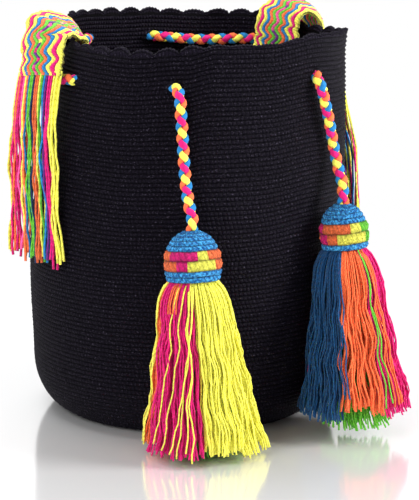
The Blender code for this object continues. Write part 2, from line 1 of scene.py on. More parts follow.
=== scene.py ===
"""Looks of the crochet bag: its stitches, braid, weave and yarn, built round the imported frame.

Metres, +Z up, the front faces -Y. An angle round the bag is in degrees from the front towards +X.
"""

import math

import bpy
import numpy as np
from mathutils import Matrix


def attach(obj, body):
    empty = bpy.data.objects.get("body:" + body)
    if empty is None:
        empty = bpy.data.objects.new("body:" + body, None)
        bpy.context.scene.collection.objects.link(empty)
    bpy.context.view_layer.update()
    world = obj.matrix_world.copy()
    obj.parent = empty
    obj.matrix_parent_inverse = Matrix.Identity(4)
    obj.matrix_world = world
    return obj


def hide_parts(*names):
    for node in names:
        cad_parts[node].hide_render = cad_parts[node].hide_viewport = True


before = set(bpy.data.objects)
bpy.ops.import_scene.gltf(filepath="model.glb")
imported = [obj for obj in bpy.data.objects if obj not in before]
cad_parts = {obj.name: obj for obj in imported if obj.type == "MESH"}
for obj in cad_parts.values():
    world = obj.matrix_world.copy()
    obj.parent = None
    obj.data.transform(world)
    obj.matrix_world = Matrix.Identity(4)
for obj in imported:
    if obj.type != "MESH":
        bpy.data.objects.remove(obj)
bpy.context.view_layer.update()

# Bag body, as in the frame
BASE_RADIUS = 0.092
BASE_ROUND_HEIGHT = 0.042
HIP_RADIUS = 0.121
BELLY_RADIUS = 0.1235
BELLY_HEIGHT = 0.150
RIM_RADIUS = 0.113
NECK_HEIGHT = 0.285
WALL = 0.004
LEAN = np.array([0.0141, -0.0051])
LEAN_START = 0.080
LEAN_CURVE = 1.5
NECK_CURVE = 1.5
SLUMP = 0.0012
RIM_HEIGHT = 0.303
# Angle, rise of the rim's peaks and height of its scallops there
RIM_WAVE = (
    (-170, 0.0036, 0.0045), (-128, 0.0080, 0.0045), (-117, 0.0030, 0.0040), (-92, -0.0060, 0.0030),
    (-72, -0.0048, 0.0040), (-50, -0.0036, 0.0060), (-27, 0.0000, 0.0055), (-15, 0.0008, 0.0010),
    (6, 0.0005, 0.0010), (26, 0.0050, 0.0022), (56, 0.0010, 0.0022), (89, -0.0050, 0.0040),
    (101, -0.0085, 0.0040), (141, 0.0010, 0.0045), (160, -0.0010, 0.0030),
)
SCALLOPS = 36
SCALLOP_ROOT = 0.0015
SCALLOP_ROUNDNESS = 0.7
SCALLOP_SCATTER = 0.22
SCALLOP_CURL = 0.0012
RIM_CROWN = 0.0010
RIM_BEAD = 0.00035
RIM_BEAD_SCATTER = 0.0001
RIM_PINCH = 0.0003

# Crochet of the body
STITCHES = 240
ROW_PITCH = 0.00345
ROW_CREST = 0.00042
ROW_GROOVE = 0.00062
ROW_SCATTER = 0.00014
ROW_WOBBLE = 0.00045
INNER_ROWS = 12
INNER_DEEP_TOP = 0.92
INNER_DEEP_RINGS = 9
FLOOR_RINGS = 24
FLOOR_MIDDLE_RADIUS = 0.012
FLOOR_RIDGE = 0.0004

# Drawstring
CORD_DIAMETER = 0.0094
CORD_GAP = 0.0012
CORD_ROOM = CORD_DIAMETER / 2 + 0.0002
CORD_BELOW_PEAKS = 0.0265
CORD_DIP = 0.0035
CORD_TURN = 0.0176
CORD_INTO_SKIRT = 0.034
CORD_IN_CAP = (-CORD_INTO_SKIRT - 0.012, -0.004, 0.003)
STRAND_REACH = 0.0024
STRAND_WEAVE = 0.0010
STRAND_ACROSS = 0.0025
STRAND_THROUGH = 0.0014
OUTSIDE = CORD_DIAMETER / 2 + CORD_GAP
INSIDE = -(WALL + CORD_DIAMETER / 2 + CORD_GAP)
IN_WALL = -WALL / 2

# Shoulder strap
STRAP_WIDTH = 0.051
STRAP_THICKNESS = 0.0036
STRAP_GROOVE = 0.0009
STRAP_STEP = 0.00135
STRIPE_COLUMNS = 5
STRIPE_RISE = 0.0015
STRIPE_BEAD = 0.0042
STRIPE_SCATTER = 0.00009
ZIGZAG_REACH = 0.0026
ZIGZAG_LENGTH = 0.0126
EDGE_BEAD = 0.0050
EDGE_KNOB = 0.0007
EDGE_START = 0.84
FRINGE_EASE = 0.40
FRINGE_RADIUS = 0.00090
FRINGE_TURN = 0.0050
FRINGE_LAYERS = 0.0022
FRINGE_END_SCATTER = 0.0030
FRINGE_OFF_WALL = 0.0006
FRINGE_INTO_STRAP = 0.004
FRINGE_STATIONS = 26
FRINGE_TIPS = (1.12, 1.2)
# Waves of the fringe's yarns, of a colour's together and of each alone: length and height
FRINGE_SWAY = (0.085, 0.0008)
FRINGE_OWN_SWAY = (0.070, 0.0009)
FRINGE_RIPPLE = (0.026, 0.0003)
FRINGE_SWELL = (0.060, 0.0008)
FRINGE_OWN_SWELL = (0.024, 0.0004)

# Tassels: height and radius as in the frame, then how the crocheted cap differs from its solid
LEFT_CAP = {
    "angle": -18.5, "radius": 0.0218, "height": 0.0356, "top": 0.1710,
    "tall": 0.0378, "lean": 7, "aside": 2, "girth": 0.99,
}
RIGHT_CAP = {
    "angle": 35.6, "radius": 0.0198, "height": 0.0330, "top": 0.1780,
    "tall": 0.0350, "lean": 6, "aside": -1, "girth": 0.955,
}
CAP_WALL = 0.0032
CAP_FOOT_TUCK = 0.06
CAP_INSIDE_SHARE = 0.45
CAP_PIVOT = 0.30
CAP_LINING_FOOT = 0.0004
CAP_LINING_SIDE = 0.012
CAP_LINING_ROUND = 0.005
CLEARANCE = 0.0003
CAP_STITCHES = 30
CAP_ACROSS = 6
CAP_UP = 6
CAP_RELIEF = 0.0014
CAP_SUNK = 0.70
CAP_SCATTER = 0.00026
CAP_WOBBLE = 0.00022
PUFF_EDGE = 9.0
SHOULDER_DROP = 0.10
SHOULDER_CURVE = 0.35
SHOULDER_SHARE = 0.28
CORE_SHARE = 0.58
YARN_RADIUS = 0.00058
YARN_TURN = 0.0040
YARN_OFF_WALL = 0.0008
SKIRT_YARNS = 760
SKIRT_STATIONS = 25
SKIRT_FLARE = 0.12
SKIRT_TUCK = 0.003
SKIRT_TUCK_SCATTER = 0.006
SKIRT_SPACING = 1.1
SKIRT_TIPS = (1.10, 1.18)
SKIRT_END_SCATTER = 0.0030
CLUMPS = 26
CLUMP_PULL = 0.09
CLUMP_END_SCATTER = 0.0025
# Waves of the clumps and of single yarns: shortest and longest one, then height
CLUMP_SWAY = ((0.034, 0.060), 0.0011)
CLUMP_RIPPLE = ((0.017, 0.030), 0.0004)
YARN_SWAY = ((0.034, 0.060), 0.0007)
YARN_RIPPLE = ((0.012, 0.024), 0.00028)
LOOSE_SHARE = 0.08
LOOSE_WAVE = 2.4
STRAY_START = 1.02
STRAY_END = 1.03

# Colours, linear
BLACK = (0.0040, 0.0028, 0.0066)
# Pale fibres of the black yarn, partly painted highlight standing in for glints on the stitches
GREY_FIBRE_AND_GLINT = (0.118, 0.101, 0.150)
WHITE = (1.0, 1.0, 1.0, 1.0)
YARNS = {
    "yellow": (1.000, 0.960, 0.125),
    "magenta": (0.800, 0.008, 0.200),
    "blue": (0.012, 0.220, 0.560),
    "orange": (1.000, 0.185, 0.055),
    "green": (0.150, 0.600, 0.040),
    "pink": (0.920, 0.100, 0.360),
    "navy": (0.006, 0.030, 0.110),
    "purple": (0.180, 0.020, 0.260),
}
SLOT = {name: number for number, name in enumerate(YARNS)}
SKIRT_COLOURS = {**YARNS, "blue": (0.002, 0.062, 0.190)}
# Painted light and shade of the caps' loops: a shaded and a lit blue, and how dark the other yarns' shaded
# copies are
CAP_BLUES_SHADED_AND_LIT = ((0.004, 0.110, 0.400), (0.075, 0.490, 0.980))
CAP_SHADE = 0.72

# Corners of a face in its texture, in the order of its points
CORNERS = ((0, 0), (1, 0), (1, 1), (0, 1))


def eased(share):
    share = np.clip(share, 0.0, 1.0)
    return share * share * (3.0 - 2.0 * share)


def swing(turns):
    """Wave between 0 and 1, once for each turn."""
    return 0.5 + 0.5 * np.sin(math.tau * turns)


def unit(vectors):
    return vectors / np.linalg.norm(vectors, axis=-1, keepdims=True)


def circle(radius, turn, height):
    """Points round the upright axis at the turns, counted from the front."""
    height = np.broadcast_to(height, turn.shape)
    return np.stack([radius * np.sin(turn), -radius * np.cos(turn), height], axis=-1)


def curve_through(rows, steps):
    """Points of a smooth curve through the rows, with so many steps from each row to the next."""
    rows = np.array(rows, float)
    ends = np.vstack([2 * rows[0] - rows[1], rows, 2 * rows[-1] - rows[-2]])
    t = np.linspace(0, 1, steps, endpoint=False)[:, None]
    found = []
    for index in range(1, len(ends) - 2):
        before, start, end, after = ends[index - 1 : index + 3]
        found.append(
            start
            + 0.5 * t * (end - before)
            + t * t * (before - 2.5 * start + 2 * end - 0.5 * after)
            + 0.5 * t**3 * (after - before + 3 * (start - end))
        )
    return np.vstack([*found, rows[-1:]])


def lengths_along(points):
    return np.concatenate([[0], np.cumsum(np.linalg.norm(np.diff(points, axis=0), axis=1))])


def spaced(rows, step):
    """Rows at an even step along the line that their first three numbers draw."""
    lengths = lengths_along(rows[:, :3])
    marks = np.linspace(0, lengths[-1], max(2, round(lengths[-1] / step)) + 1)
    return np.column_stack([np.interp(marks, lengths, rows[:, column]) for column in range(rows.shape[1])])


def rim_shape(angle):
    """Rise of the rim and height of its scallops at the angles, eased between the stated ones."""
    angle = (np.asarray(angle, float) + 170) % 360 - 170
    marks = np.array(RIM_WAVE + ((RIM_WAVE[0][0] + 360, *RIM_WAVE[0][1:]),))
    index = np.clip(np.searchsorted(marks[:, 0], angle, side="right") - 1, 0, len(marks) - 2)
    share = eased((angle - marks[index, 0]) / (marks[index + 1, 0] - marks[index, 0]))
    return [marks[index, row] + (marks[index + 1, row] - marks[index, row]) * share for row in (1, 2)]


def rim_valley(angle):
    rise, scallop = rim_shape(angle)
    return RIM_HEIGHT + rise - scallop


def lean(height):
    share = np.maximum(0.0, (np.asarray(height, float) - LEAN_START) / (NECK_HEIGHT - LEAN_START))
    return share[..., None] ** LEAN_CURVE * LEAN


def side_radius(height):
    height = np.asarray(height, float)
    rise = 1 - np.clip(height, 0, BASE_ROUND_HEIGHT) / BASE_ROUND_HEIGHT
    low = BASE_RADIUS + (HIP_RADIUS - BASE_RADIUS) * np.sqrt(1 - rise * rise)
    share = eased((height - BASE_ROUND_HEIGHT) / (BELLY_HEIGHT - BASE_ROUND_HEIGHT))
    middle = HIP_RADIUS + (BELLY_RADIUS - HIP_RADIUS) * share
    share = np.clip((height - BELLY_HEIGHT) / (NECK_HEIGHT - BELLY_HEIGHT), 0, 1) ** NECK_CURVE
    high = BELLY_RADIUS - (BELLY_RADIUS - RIM_RADIUS) * share
    return np.where(height < BASE_ROUND_HEIGHT, low, np.where(height < BELLY_HEIGHT, middle, high))


def slump(angle, height):
    """How far the soft side stands out or in of its plain radius."""
    turn = np.radians(angle)
    rise = eased(np.asarray(height) / BELLY_HEIGHT)
    return SLUMP * rise * (np.sin(3 * turn + 1.1) + 0.6 * np.sin(5 * turn - 20 * height))


def outer_radius(angle, height):
    return side_radius(height) + slump(angle, height)


def place(angle, radius, height):
    """Points at a distance from the leaning middle line."""
    turn, radius, height = np.broadcast_arrays(np.radians(angle), radius, height)
    points = circle(radius, turn, height)
    points[..., :2] += lean(height)
    return points


def off_wall(angle, distance, height):
    height = np.asarray(height, float)
    return place(angle, outer_radius(angle, height) + distance, height)


def pushed_clear(points, distance):
    """The points, moved straight out where they lie less than a distance off the wall."""
    middle = lean(points[..., 2])
    out = points[..., :2] - middle
    reach = np.linalg.norm(out, axis=-1)
    angle = np.degrees(np.arctan2(out[..., 0], -out[..., 1]))
    least = outer_radius(angle, points[..., 2]) + distance
    grown = np.maximum(reach, least) / reach
    return np.concatenate([middle + out * grown[..., None], points[..., 2:]], axis=-1)


class Shape:
    """Points, faces and texture places of one piece while it is put together."""

    def __init__(self):
        self.points, self.faces, self.places, self.slots, self.tones = [], [], [], [], []
        self.count = 0

    def add_points(self, points, tone=0.5):
        points = np.asarray(points, float).reshape(-1, 3)
        numbers = np.arange(self.count, self.count + len(points))
        self.points.append(points)
        self.tones.append(np.broadcast_to(tone, len(points)))
        self.count += len(points)
        return numbers

    def add_faces(self, faces, places=None, slot=0):
        faces = np.asarray(faces, int)
        if places is None:
            places = np.zeros((*faces.shape, 2))
        self.faces.extend(faces.tolist())
        self.places.append(np.asarray(places, float).reshape(-1, 2))
        self.slots.append(np.broadcast_to(slot, len(faces)))

    def make(self, name, materials, node, slot):
        """The piece, in place of a node of the frame; its slot is not used."""
        mesh = bpy.data.meshes.new(name)
        mesh.from_pydata(np.concatenate(self.points).tolist(), [], self.faces)
        for finish in materials:
            mesh.materials.append(finish)
        mesh.polygons.foreach_set("material_index", np.concatenate(self.slots).astype(np.int32))
        mesh.polygons.foreach_set("use_smooth", np.ones(len(mesh.polygons), bool))
        layer = mesh.uv_layers.new(name="thread")
        layer.data.foreach_set("uv", np.concatenate(self.places).astype(np.float32).ravel())
        tone = mesh.attributes.new("tone", "FLOAT", "POINT")
        tone.data.foreach_set("value", np.concatenate(self.tones).astype(np.float32))
        mesh.update()
        piece = bpy.data.objects.new(name, mesh)
        bpy.context.scene.collection.objects.link(piece)
        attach(piece, "root")
        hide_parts(node)
        return piece


def add_ring_pair(shape, low, high, low_row, high_row, per_stitch, slot=0, shift=0.0):
    """Faces between two rings with the same number of points."""
    here = np.arange(len(low))
    faces = np.stack([low, np.roll(low, -1), np.roll(high, -1), high], axis=1)
    across = np.stack([here, here + 1, here + 1, here], axis=1)
    up = np.broadcast_to([low_row, low_row, high_row, high_row], faces.shape)
    shape.add_faces(faces, np.stack([across / per_stitch + shift, up], axis=-1), slot)


def add_stack(shape, rings, rows, per_stitch, slot=0):
    """Faces from each ring to the next, with the texture's row at each ring."""
    for low, high, low_row, high_row in zip(rings, rings[1:], rows, rows[1:]):
        add_ring_pair(shape, low, high, low_row, high_row, per_stitch, slot)


def add_halving(shape, fine, coarse, row, per_stitch, inward=False):
    """Faces between a ring and one with half as many points."""
    here = 2 * np.arange(len(coarse))[:, None]
    after = np.roll(coarse, -1)
    low, mid, high = fine[::2], fine[1::2], np.roll(fine[::2], -1)
    for corners, across in (
        ((coarse, low, mid), (0, 0, 1)),
        ((coarse, mid, after), (0, 1, 2)),
        ((after, mid, high), (2, 1, 2)),
    ):
        faces = np.stack(corners, axis=1)
        places = np.stack([(here + across) / per_stitch, np.full(faces.shape, row)], axis=-1)
        if inward:
            faces, places = faces[:, ::-1], places[:, ::-1]
        shape.add_faces(faces, places)


def add_fan(shape, ring, middle, outward, slot=0):
    """Faces from a ring to a point in its middle."""
    middle = shape.add_points(middle)[0]
    faces = np.stack([ring, np.roll(ring, -1), np.full(len(ring), middle)], axis=1)
    shape.add_faces(faces if outward else faces[:, ::-1], None, slot)


def carried_frames(points):
    """Two directions square to a line at each of its points, carried along it without twist."""
    along = unit(np.gradient(points, axis=0))
    start = np.cross(along[0], (0.0, 0.0, 1.0))
    if np.linalg.norm(start) < 0.1:
        start = np.cross(along[0], (1.0, 0.0, 0.0))
    side = unit(start)
    sides = []
    for forward in along:
        side = unit(side - forward * np.dot(side, forward))
        sides.append(side)
    sides = np.array(sides)
    return sides, np.cross(along, sides)


def frayed(radius, stations, *ends):
    """Radii along a yarn that opens a little at its cut end."""
    radii = np.full(stations, radius)
    radii[-len(ends) :] *= ends
    return radii


def add_tubes(shape, paths, radii, sides, turn, tones, slot=0):
    """Round yarns along many paths of the same number of points, with closed ends."""
    count, size = paths.shape[:2]
    along = unit(np.gradient(paths, axis=1))
    across = unit(np.cross(along, (0.0, 1.0, 0.0)))
    up = np.cross(across, along)
    angles = np.linspace(0, math.tau, sides, endpoint=False)
    spokes = across[:, :, None] * np.cos(angles)[:, None] + up[:, :, None] * np.sin(angles)[:, None]
    rings = paths[:, :, None] + radii[:, None, None] * spokes
    numbers = shape.add_points(rings, np.repeat(tones, size * sides)).reshape(count, size, sides)
    after = np.roll(numbers, -1, axis=2)
    faces = np.stack([numbers[:, :-1], after[:, :-1], after[:, 1:], numbers[:, 1:]], axis=-1)
    steps = np.linalg.norm(np.diff(paths, axis=1), axis=2)
    run = np.concatenate([np.zeros((count, 1)), np.cumsum(steps, axis=1)], axis=1)[..., None] / turn
    round_it = np.arange(sides) / sides
    places = [
        np.stack(np.broadcast_arrays(round_it + corner / sides, run[:, end : size - 1 + end]), axis=-1)
        for corner, end in CORNERS
    ]
    shape.add_faces(faces.reshape(-1, 4), np.stack(places, axis=-2).reshape(-1, 4, 2), slot)
    shape.add_faces(numbers[:, 0, ::-1], None, slot)
    shape.add_faces(numbers[:, -1], None, slot)


# Materials


def feed(tree, value, socket):
    """Set a socket to a plain value, or link another node's output to it."""
    if isinstance(value, (int, float, tuple)):
        socket.default_value = value
    else:
        tree.links.new(value, socket)


def add_node(tree, kind, inputs, **settings):
    node = tree.nodes.new(f"ShaderNode{kind}")
    for name, value in settings.items():
        setattr(node, name, value)
    for place_in, value in inputs.items():
        feed(tree, value, node.inputs[place_in])
    return node


class Nodes:
    """A material's node tree, with short calls for the nodes that repeat."""

    def __init__(self, name):
        self.material = bpy.data.materials.new(name)
        self.material.use_nodes = True
        self.tree = self.material.node_tree
        self.shader = self.tree.nodes["Principled BSDF"]

    def add(self, kind, inputs, **settings):
        return add_node(self.tree, kind, inputs, **settings).outputs

    def math(self, operation, *values, clamp=False):
        return self.add("Math", dict(enumerate(values)), operation=operation, use_clamp=clamp)[0]

    def times(self, value, *others):
        for other in others:
            value = self.math("MULTIPLY", value, other)
        return value

    def fit(self, value, scale, start):
        """The value times a scale, counted from a start."""
        return self.math("MULTIPLY_ADD", value, scale, start)

    def ridges(self, along, power):
        """A rounded ridge for each whole step of a place, with sharp dips between them."""
        wave = self.math("SINE", self.times(along, math.pi))
        return self.math("POWER", self.math("ABSOLUTE", wave), power)

    def groove(self, along, depth):
        """How near the sides of each whole step of a place are, and the shade of a groove there."""
        near = self.times(self.math("ABSOLUTE", self.math("SUBTRACT", self.math("FRACT", along), 0.5)), 2.0)
        return near, self.fit(self.math("POWER", near, 4.0), -depth, 1.0)

    def noise(self, scale, detail=2.0, roughness=0.5):
        inputs = {"Vector": self.add("TexCoord", {})["Object"], "Scale": scale, "Detail": detail}
        return self.add("TexNoise", {**inputs, "Roughness": roughness})["Fac"]

    def thread(self):
        """Place on the yarn, in stitches or turns one way and the other."""
        split = self.add("SeparateXYZ", {0: self.add("UVMap", {}, uv_map="thread")["UV"]})
        return split["X"], split["Y"]

    def tone(self):
        return self.add("Attribute", {}, attribute_name="tone")["Fac"]

    def mixed(self, share, first, second):
        return self.add("Mix", {0: share, 6: first, 7: second}, data_type="RGBA")[2]

    def shaded(self, colour, value):
        """The colour, times a value."""
        return self.add("VectorMath", {0: colour, "Scale": value}, operation="SCALE")[0]

    def bump(self, height, distance, strength=1.0):
        inputs = {"Strength": strength, "Distance": distance, "Height": height}
        feed(self.tree, self.add("Bump", inputs)[0], self.shader.inputs["Normal"])

    def finish(self, colour, roughness, sheen=0.0, specular=0.3):
        inputs = {"Base Color": colour, "Roughness": roughness, "Sheen Weight": sheen}
        for name, value in {**inputs, "Sheen Roughness": 0.5, "Specular IOR Level": specular}.items():
            feed(self.tree, value, self.shader.inputs[name])
        return self.material


def yarn_material(name, colour, variety=0.20, ply_shade_and_grain=0.5):
    """Soft yarn of two plies, with fine grooves between them and painted shade in those grooves, fibres and
    uneven dye.
    """
    nodes = Nodes(name)
    u, v = nodes.thread()
    ply = nodes.fit(nodes.math("SINE", nodes.times(nodes.fit(u, 2.0, v), math.tau)), 0.5, 0.5)
    fibre = nodes.noise(1500.0, 3.0, 0.6)
    # Painted shade: the yarn is darker in the grooves between its plies.
    value = nodes.times(
        nodes.fit(nodes.math("POWER", ply, 0.5), 0.30 * ply_shade_and_grain, 1.02 - 0.26 * ply_shade_and_grain),
        nodes.fit(nodes.tone(), variety, 1.0 - variety / 2),
        nodes.fit(nodes.noise(60.0), 0.16, 0.92),
        nodes.fit(fibre, 0.40 * ply_shade_and_grain, 1.0 - 0.20 * ply_shade_and_grain),
    )
    nodes.bump(nodes.fit(fibre, 0.8, ply), 0.00030, 0.8)
    return nodes.finish(nodes.shaded(colour, value), 0.82, 0.08)


def crochet_material(name, colour, fibre_and_glint_colour):
    """Crochet in close rows: round beads of yarn with painted shade in the grooves between the rows and
    beads, and pale fibre specks that are partly painted highlight.
    """
    nodes = Nodes(name)
    u, v = nodes.thread()
    rise = nodes.math("FRACT", v)
    bead = nodes.ridges(nodes.fit(rise, 0.35, u), 0.5)
    height = nodes.times(nodes.ridges(rise, 0.7), nodes.fit(bead, 0.75, 0.25))
    speck = nodes.noise(820.0, 4.0, 0.70)
    # Painted shade: the stitches are darker in the grooves between the rows and between the beads.
    value = nodes.times(
        nodes.fit(height, 1.05, 0.25),
        nodes.fit(nodes.noise(30.0, 3.0), 0.60, 0.70),
        # Tone is 0 outside, 1 on the rim and 0.5 inside and under: the rim is 1.6 and the inside 1.3 times
        # as light as the outside.
        nodes.fit(nodes.tone(), 0.60, 1.0),
    )
    # Pale specks on the beads' crests: partly fibres, partly painted highlight for the stitches' glints.
    fibre_and_glint_specks = nodes.math("MULTIPLY", nodes.math("SUBTRACT", speck, 0.57), 8.0, clamp=True)
    relief = nodes.fit(nodes.noise(2600.0, 2.0, 0.6), 0.20, nodes.fit(speck, 0.55, height))
    nodes.bump(relief, 0.0014)
    share = nodes.times(fibre_and_glint_specks, height, 0.80)
    ground = nodes.mixed(share, nodes.shaded(colour, value), (*fibre_and_glint_colour, 1.0))
    return nodes.finish(ground, 0.62, specular=0.06)


def weave_material(name, colour):
    """Thick woven yarn: slanted strands along each stripe, painted shade in the grooves at its sides and
    between the strands, fibres.
    """
    nodes = Nodes(name)
    u, v = nodes.thread()
    near, groove = nodes.groove(u, 0.68)
    strand = nodes.ridges(nodes.fit(near, 0.7, nodes.times(v, 2.0)), 0.6)
    fibre = nodes.noise(1500.0, 3.0, 0.6)
    # Painted shade: darker in the grooves at the stripe's sides and between its strands.
    value = nodes.times(
        groove,
        nodes.fit(strand, 0.40, 0.72),
        nodes.fit(fibre, 0.60, 0.72),
        nodes.fit(nodes.noise(70.0), 0.20, 0.90),
    )
    nodes.bump(nodes.fit(fibre, 0.4, strand), 0.0005, 0.9)
    return nodes.finish(nodes.shaded(colour, value), 0.85, 0.15)


def cap_material(name, deep, light):
    """Crochet yarn seen close: slanted strands along each row, painted shade in the grooves between the
    rows, and raised loops painted in a lit colour over a shaded one.
    """
    nodes = Nodes(name)
    u, v = nodes.thread()
    _, groove = nodes.groove(v, 0.80)
    strand = nodes.ridges(nodes.fit(v, 0.8, u), 0.6)
    fibre = nodes.noise(1250.0, 4.0, 0.65)
    uneven = nodes.math("SUBTRACT", nodes.noise(560.0, 3.0, 0.6), 0.5)
    loops = nodes.math("MULTIPLY_ADD", uneven, 6.0, 0.5, clamp=True)
    # Painted shade: darker in the grooves between the rows and between the strands.
    value = nodes.times(groove, nodes.fit(strand, 0.36, 0.74), nodes.fit(fibre, 0.80, 0.60))
    nodes.bump(nodes.fit(loops, 0.8, nodes.fit(fibre, 0.9, strand)), 0.0009)
    # Painted light and shade: the raised loops take the lit colour, the yarn between them the deep, shaded
    # one.
    ground = nodes.mixed(loops, (*deep, 1.0), (*light, 1.0))
    return nodes.finish(nodes.shaded(ground, value), 0.85, 0.04)


# Drawstring

# Angle, distance off the wall and height
LEFT_TAIL = (
    (-19.2, 0.0205, 0.1800), (-20.3, 0.0165, 0.1880), (-21.6, 0.0108, 0.1990), (-22.7, 0.0085, 0.2110),
    (-23.7, 0.0078, 0.2244), (-24.8, 0.0078, 0.2392), (-26.0, 0.0078, 0.2539), (-27.4, 0.0072, 0.2680),
)
RIGHT_TAIL = (
    (28.2, 0.0072, 0.2690), (30.7, 0.0078, 0.2565), (33.7, 0.0078, 0.2418), (36.5, 0.0078, 0.2255),
    (38.0, 0.0088, 0.2135), (38.0, 0.0122, 0.2020), (36.9, 0.0172, 0.1920),
)
# Angle and distance off the wall, from eyelet to eyelet
WOVEN = (
    (-31, IN_WALL), (-40, INSIDE), (-53, INSIDE), (-66, INSIDE),
    (-75, IN_WALL), (-84, OUTSIDE), (-94, OUTSIDE), (-104, OUTSIDE),
    (-113, IN_WALL), (-122, INSIDE), (-134, INSIDE),
    (-143, IN_WALL), (-152, OUTSIDE), (-165, OUTSIDE),
    (-174, IN_WALL), (-183, INSIDE), (-199, INSIDE), (-215, INSIDE),
    (-224, IN_WALL), (-233, OUTSIDE), (-243, OUTSIDE), (-253, OUTSIDE),
    (-262, IN_WALL), (-271, INSIDE), (-290, INSIDE), (-306, INSIDE), (-321, INSIDE),
    (-330, IN_WALL),
)
# The strands that cross over face this way on both tails
BRAID_FACING = np.array([-0.342, -0.940, 0.0])
TAIL_SHARES = (0.0, 0.16, 0.84, 0.93, 1.0)
TAIL_TURNS = (0.0, 0.0, 40.0, 10.0, 0.0)
# Way round, start and yarn of each strand
STRANDS = (
    (-1, 0.0, "yellow"),
    (-1, math.pi, "magenta"),
    (1, math.pi / 2, "orange"),
    (1, -math.pi / 2, "blue"),
)


def cap_middle(cap):
    """Foot of the cap's upright middle line, far enough off the wall all the way up."""
    heights = cap["top"] - cap["height"] * np.array([1.0, 0.5, 0.0])
    spots = off_wall(cap["angle"], cap["radius"] + CLEARANCE, heights)
    return spots[np.argmax(np.hypot(spots[:, 0], spots[:, 1])), :2]


def cord_height(angle):
    return RIM_HEIGHT + rim_shape(angle)[0] - CORD_BELOW_PEAKS - CORD_DIP * np.cos(np.radians(angle))


def cord_line():
    """The drawstring's line, down through each cap and knot into the yarn."""
    woven = [off_wall(angle, distance, cord_height(angle)) for angle, distance in WOVEN]
    left, right = (
        [(*cap_middle(cap), cap["top"] + drop) for drop in CORD_IN_CAP] for cap in (LEFT_CAP, RIGHT_CAP)
    )
    tails = [[off_wall(*row) for row in tail] for tail in (LEFT_TAIL, RIGHT_TAIL)]
    return curve_through([*left, *tails[0], *woven, *tails[1], *reversed(right)], 24)


def braid_turns(sides, ups):
    """Angle that brings the over-crossings of the braid to the front of both tails."""
    facing = np.unwrap(np.arctan2(ups @ BRAID_FACING, sides @ BRAID_FACING))
    count = len(facing)
    tail = int(TAIL_SHARES[1] * count)
    turns = facing.copy()
    turns[tail:-tail] = np.interp(
        np.arange(tail, count - tail), (tail, count - tail), (facing[tail], facing[-tail])
    )
    extra = np.interp(np.linspace(0, 1, count), TAIL_SHARES, np.radians(TAIL_TURNS))
    return turns - math.pi / 4 + extra


def make_drawstring(line):
    """Four flat strands braided round: two run one way, two the other, over and under in turn."""
    line = spaced(line, CORD_TURN / 18)
    sides, ups = carried_frames(line)
    run = lengths_along(line) / CORD_TURN * math.tau
    roll = braid_turns(sides, ups)
    shape = Shape()
    ring = np.linspace(0, math.tau, 10, endpoint=False)[:, None]
    for slot, (way, start, _) in enumerate(STRANDS):
        turn = start + way * run + roll
        reach = STRAND_REACH + way * STRAND_WEAVE * np.sin(2 * run)
        out = np.cos(turn)[:, None] * sides + np.sin(turn)[:, None] * ups
        centre = line + reach[:, None] * out
        along = unit(np.gradient(centre, axis=0))
        across = unit(np.cross(along, out))
        out = np.cross(across, along)
        rings = centre[:, None] + STRAND_ACROSS * np.cos(ring) * across[:, None]
        rings = rings + STRAND_THROUGH * np.sin(ring) * out[:, None]
        numbers = shape.add_points(rings).reshape(len(line), len(ring))
        add_stack(shape, numbers, lengths_along(centre) / YARN_TURN, len(ring), slot)
        shape.add_faces(numbers[:1, ::-1], None, slot)
        shape.add_faces(numbers[-1:], None, slot)
    materials = [yarn_material(f"cord_{name}", YARNS[name]) for _, _, name in STRANDS]
    return shape.make("braided_drawstring", materials, "drawstring", "braided_yarn"), line


# Bag body


def scallop_edge(angle, scatter):
    """Height of the scalloped edge, with each scallop a little taller or lower."""
    place_in = (np.asarray(angle, float) + 180) * SCALLOPS / 360
    arch = np.abs(np.sin(math.pi * place_in)) ** SCALLOP_ROUNDNESS
    number = np.floor(place_in).astype(int) % SCALLOPS
    return rim_valley(angle) + rim_shape(angle)[1] * (1 + scatter[number]) * arch, arch, number


def grid_normals(points):
    """Outward directions of a closed grid of rings, lowest ring first."""
    across = np.roll(points, -1, axis=1) - np.roll(points, 1, axis=1)
    return unit(np.cross(across, np.gradient(points, axis=0)))


def rounded_base(inset, rings):
    """Radius and height of evenly spaced rings round the base's edge, floor first."""
    quarter = np.linspace(0, math.pi / 2, 200)
    radius = BASE_RADIUS + (HIP_RADIUS - inset - BASE_RADIUS) * np.sin(quarter)
    height = inset + (BASE_ROUND_HEIGHT - inset) * (1 - np.cos(quarter))
    lengths = lengths_along(np.column_stack([radius, height]))
    marks = np.linspace(0, lengths[-1], rings + 1)
    return np.interp(marks, lengths, radius), np.interp(marks, lengths, height), lengths[-1]


def parted_round(rows, line):
    """The wall's points, moved aside where the drawstring goes through the wall."""
    flat = rows.reshape(-1, 3).copy()
    for angle, distance in WOVEN:
        if distance != IN_WALL:
            continue
        eyelet = off_wall(angle, distance, cord_height(angle))
        near = np.flatnonzero(np.linalg.norm(flat - eyelet, axis=1) < 0.024)
        stretch = line[np.linalg.norm(line - eyelet, axis=1) < 0.028]
        offset = flat[near][:, None] - stretch[None]
        away = np.linalg.norm(offset, axis=2)
        nearest = np.argmin(away, axis=1)
        chosen = np.arange(len(near)), nearest
        grown = np.maximum(away[chosen], CORD_ROOM) / np.maximum(away[chosen], 1e-6)
        flat[near] = stretch[nearest] + offset[chosen] * grown[:, None]
    return flat.reshape(rows.shape)


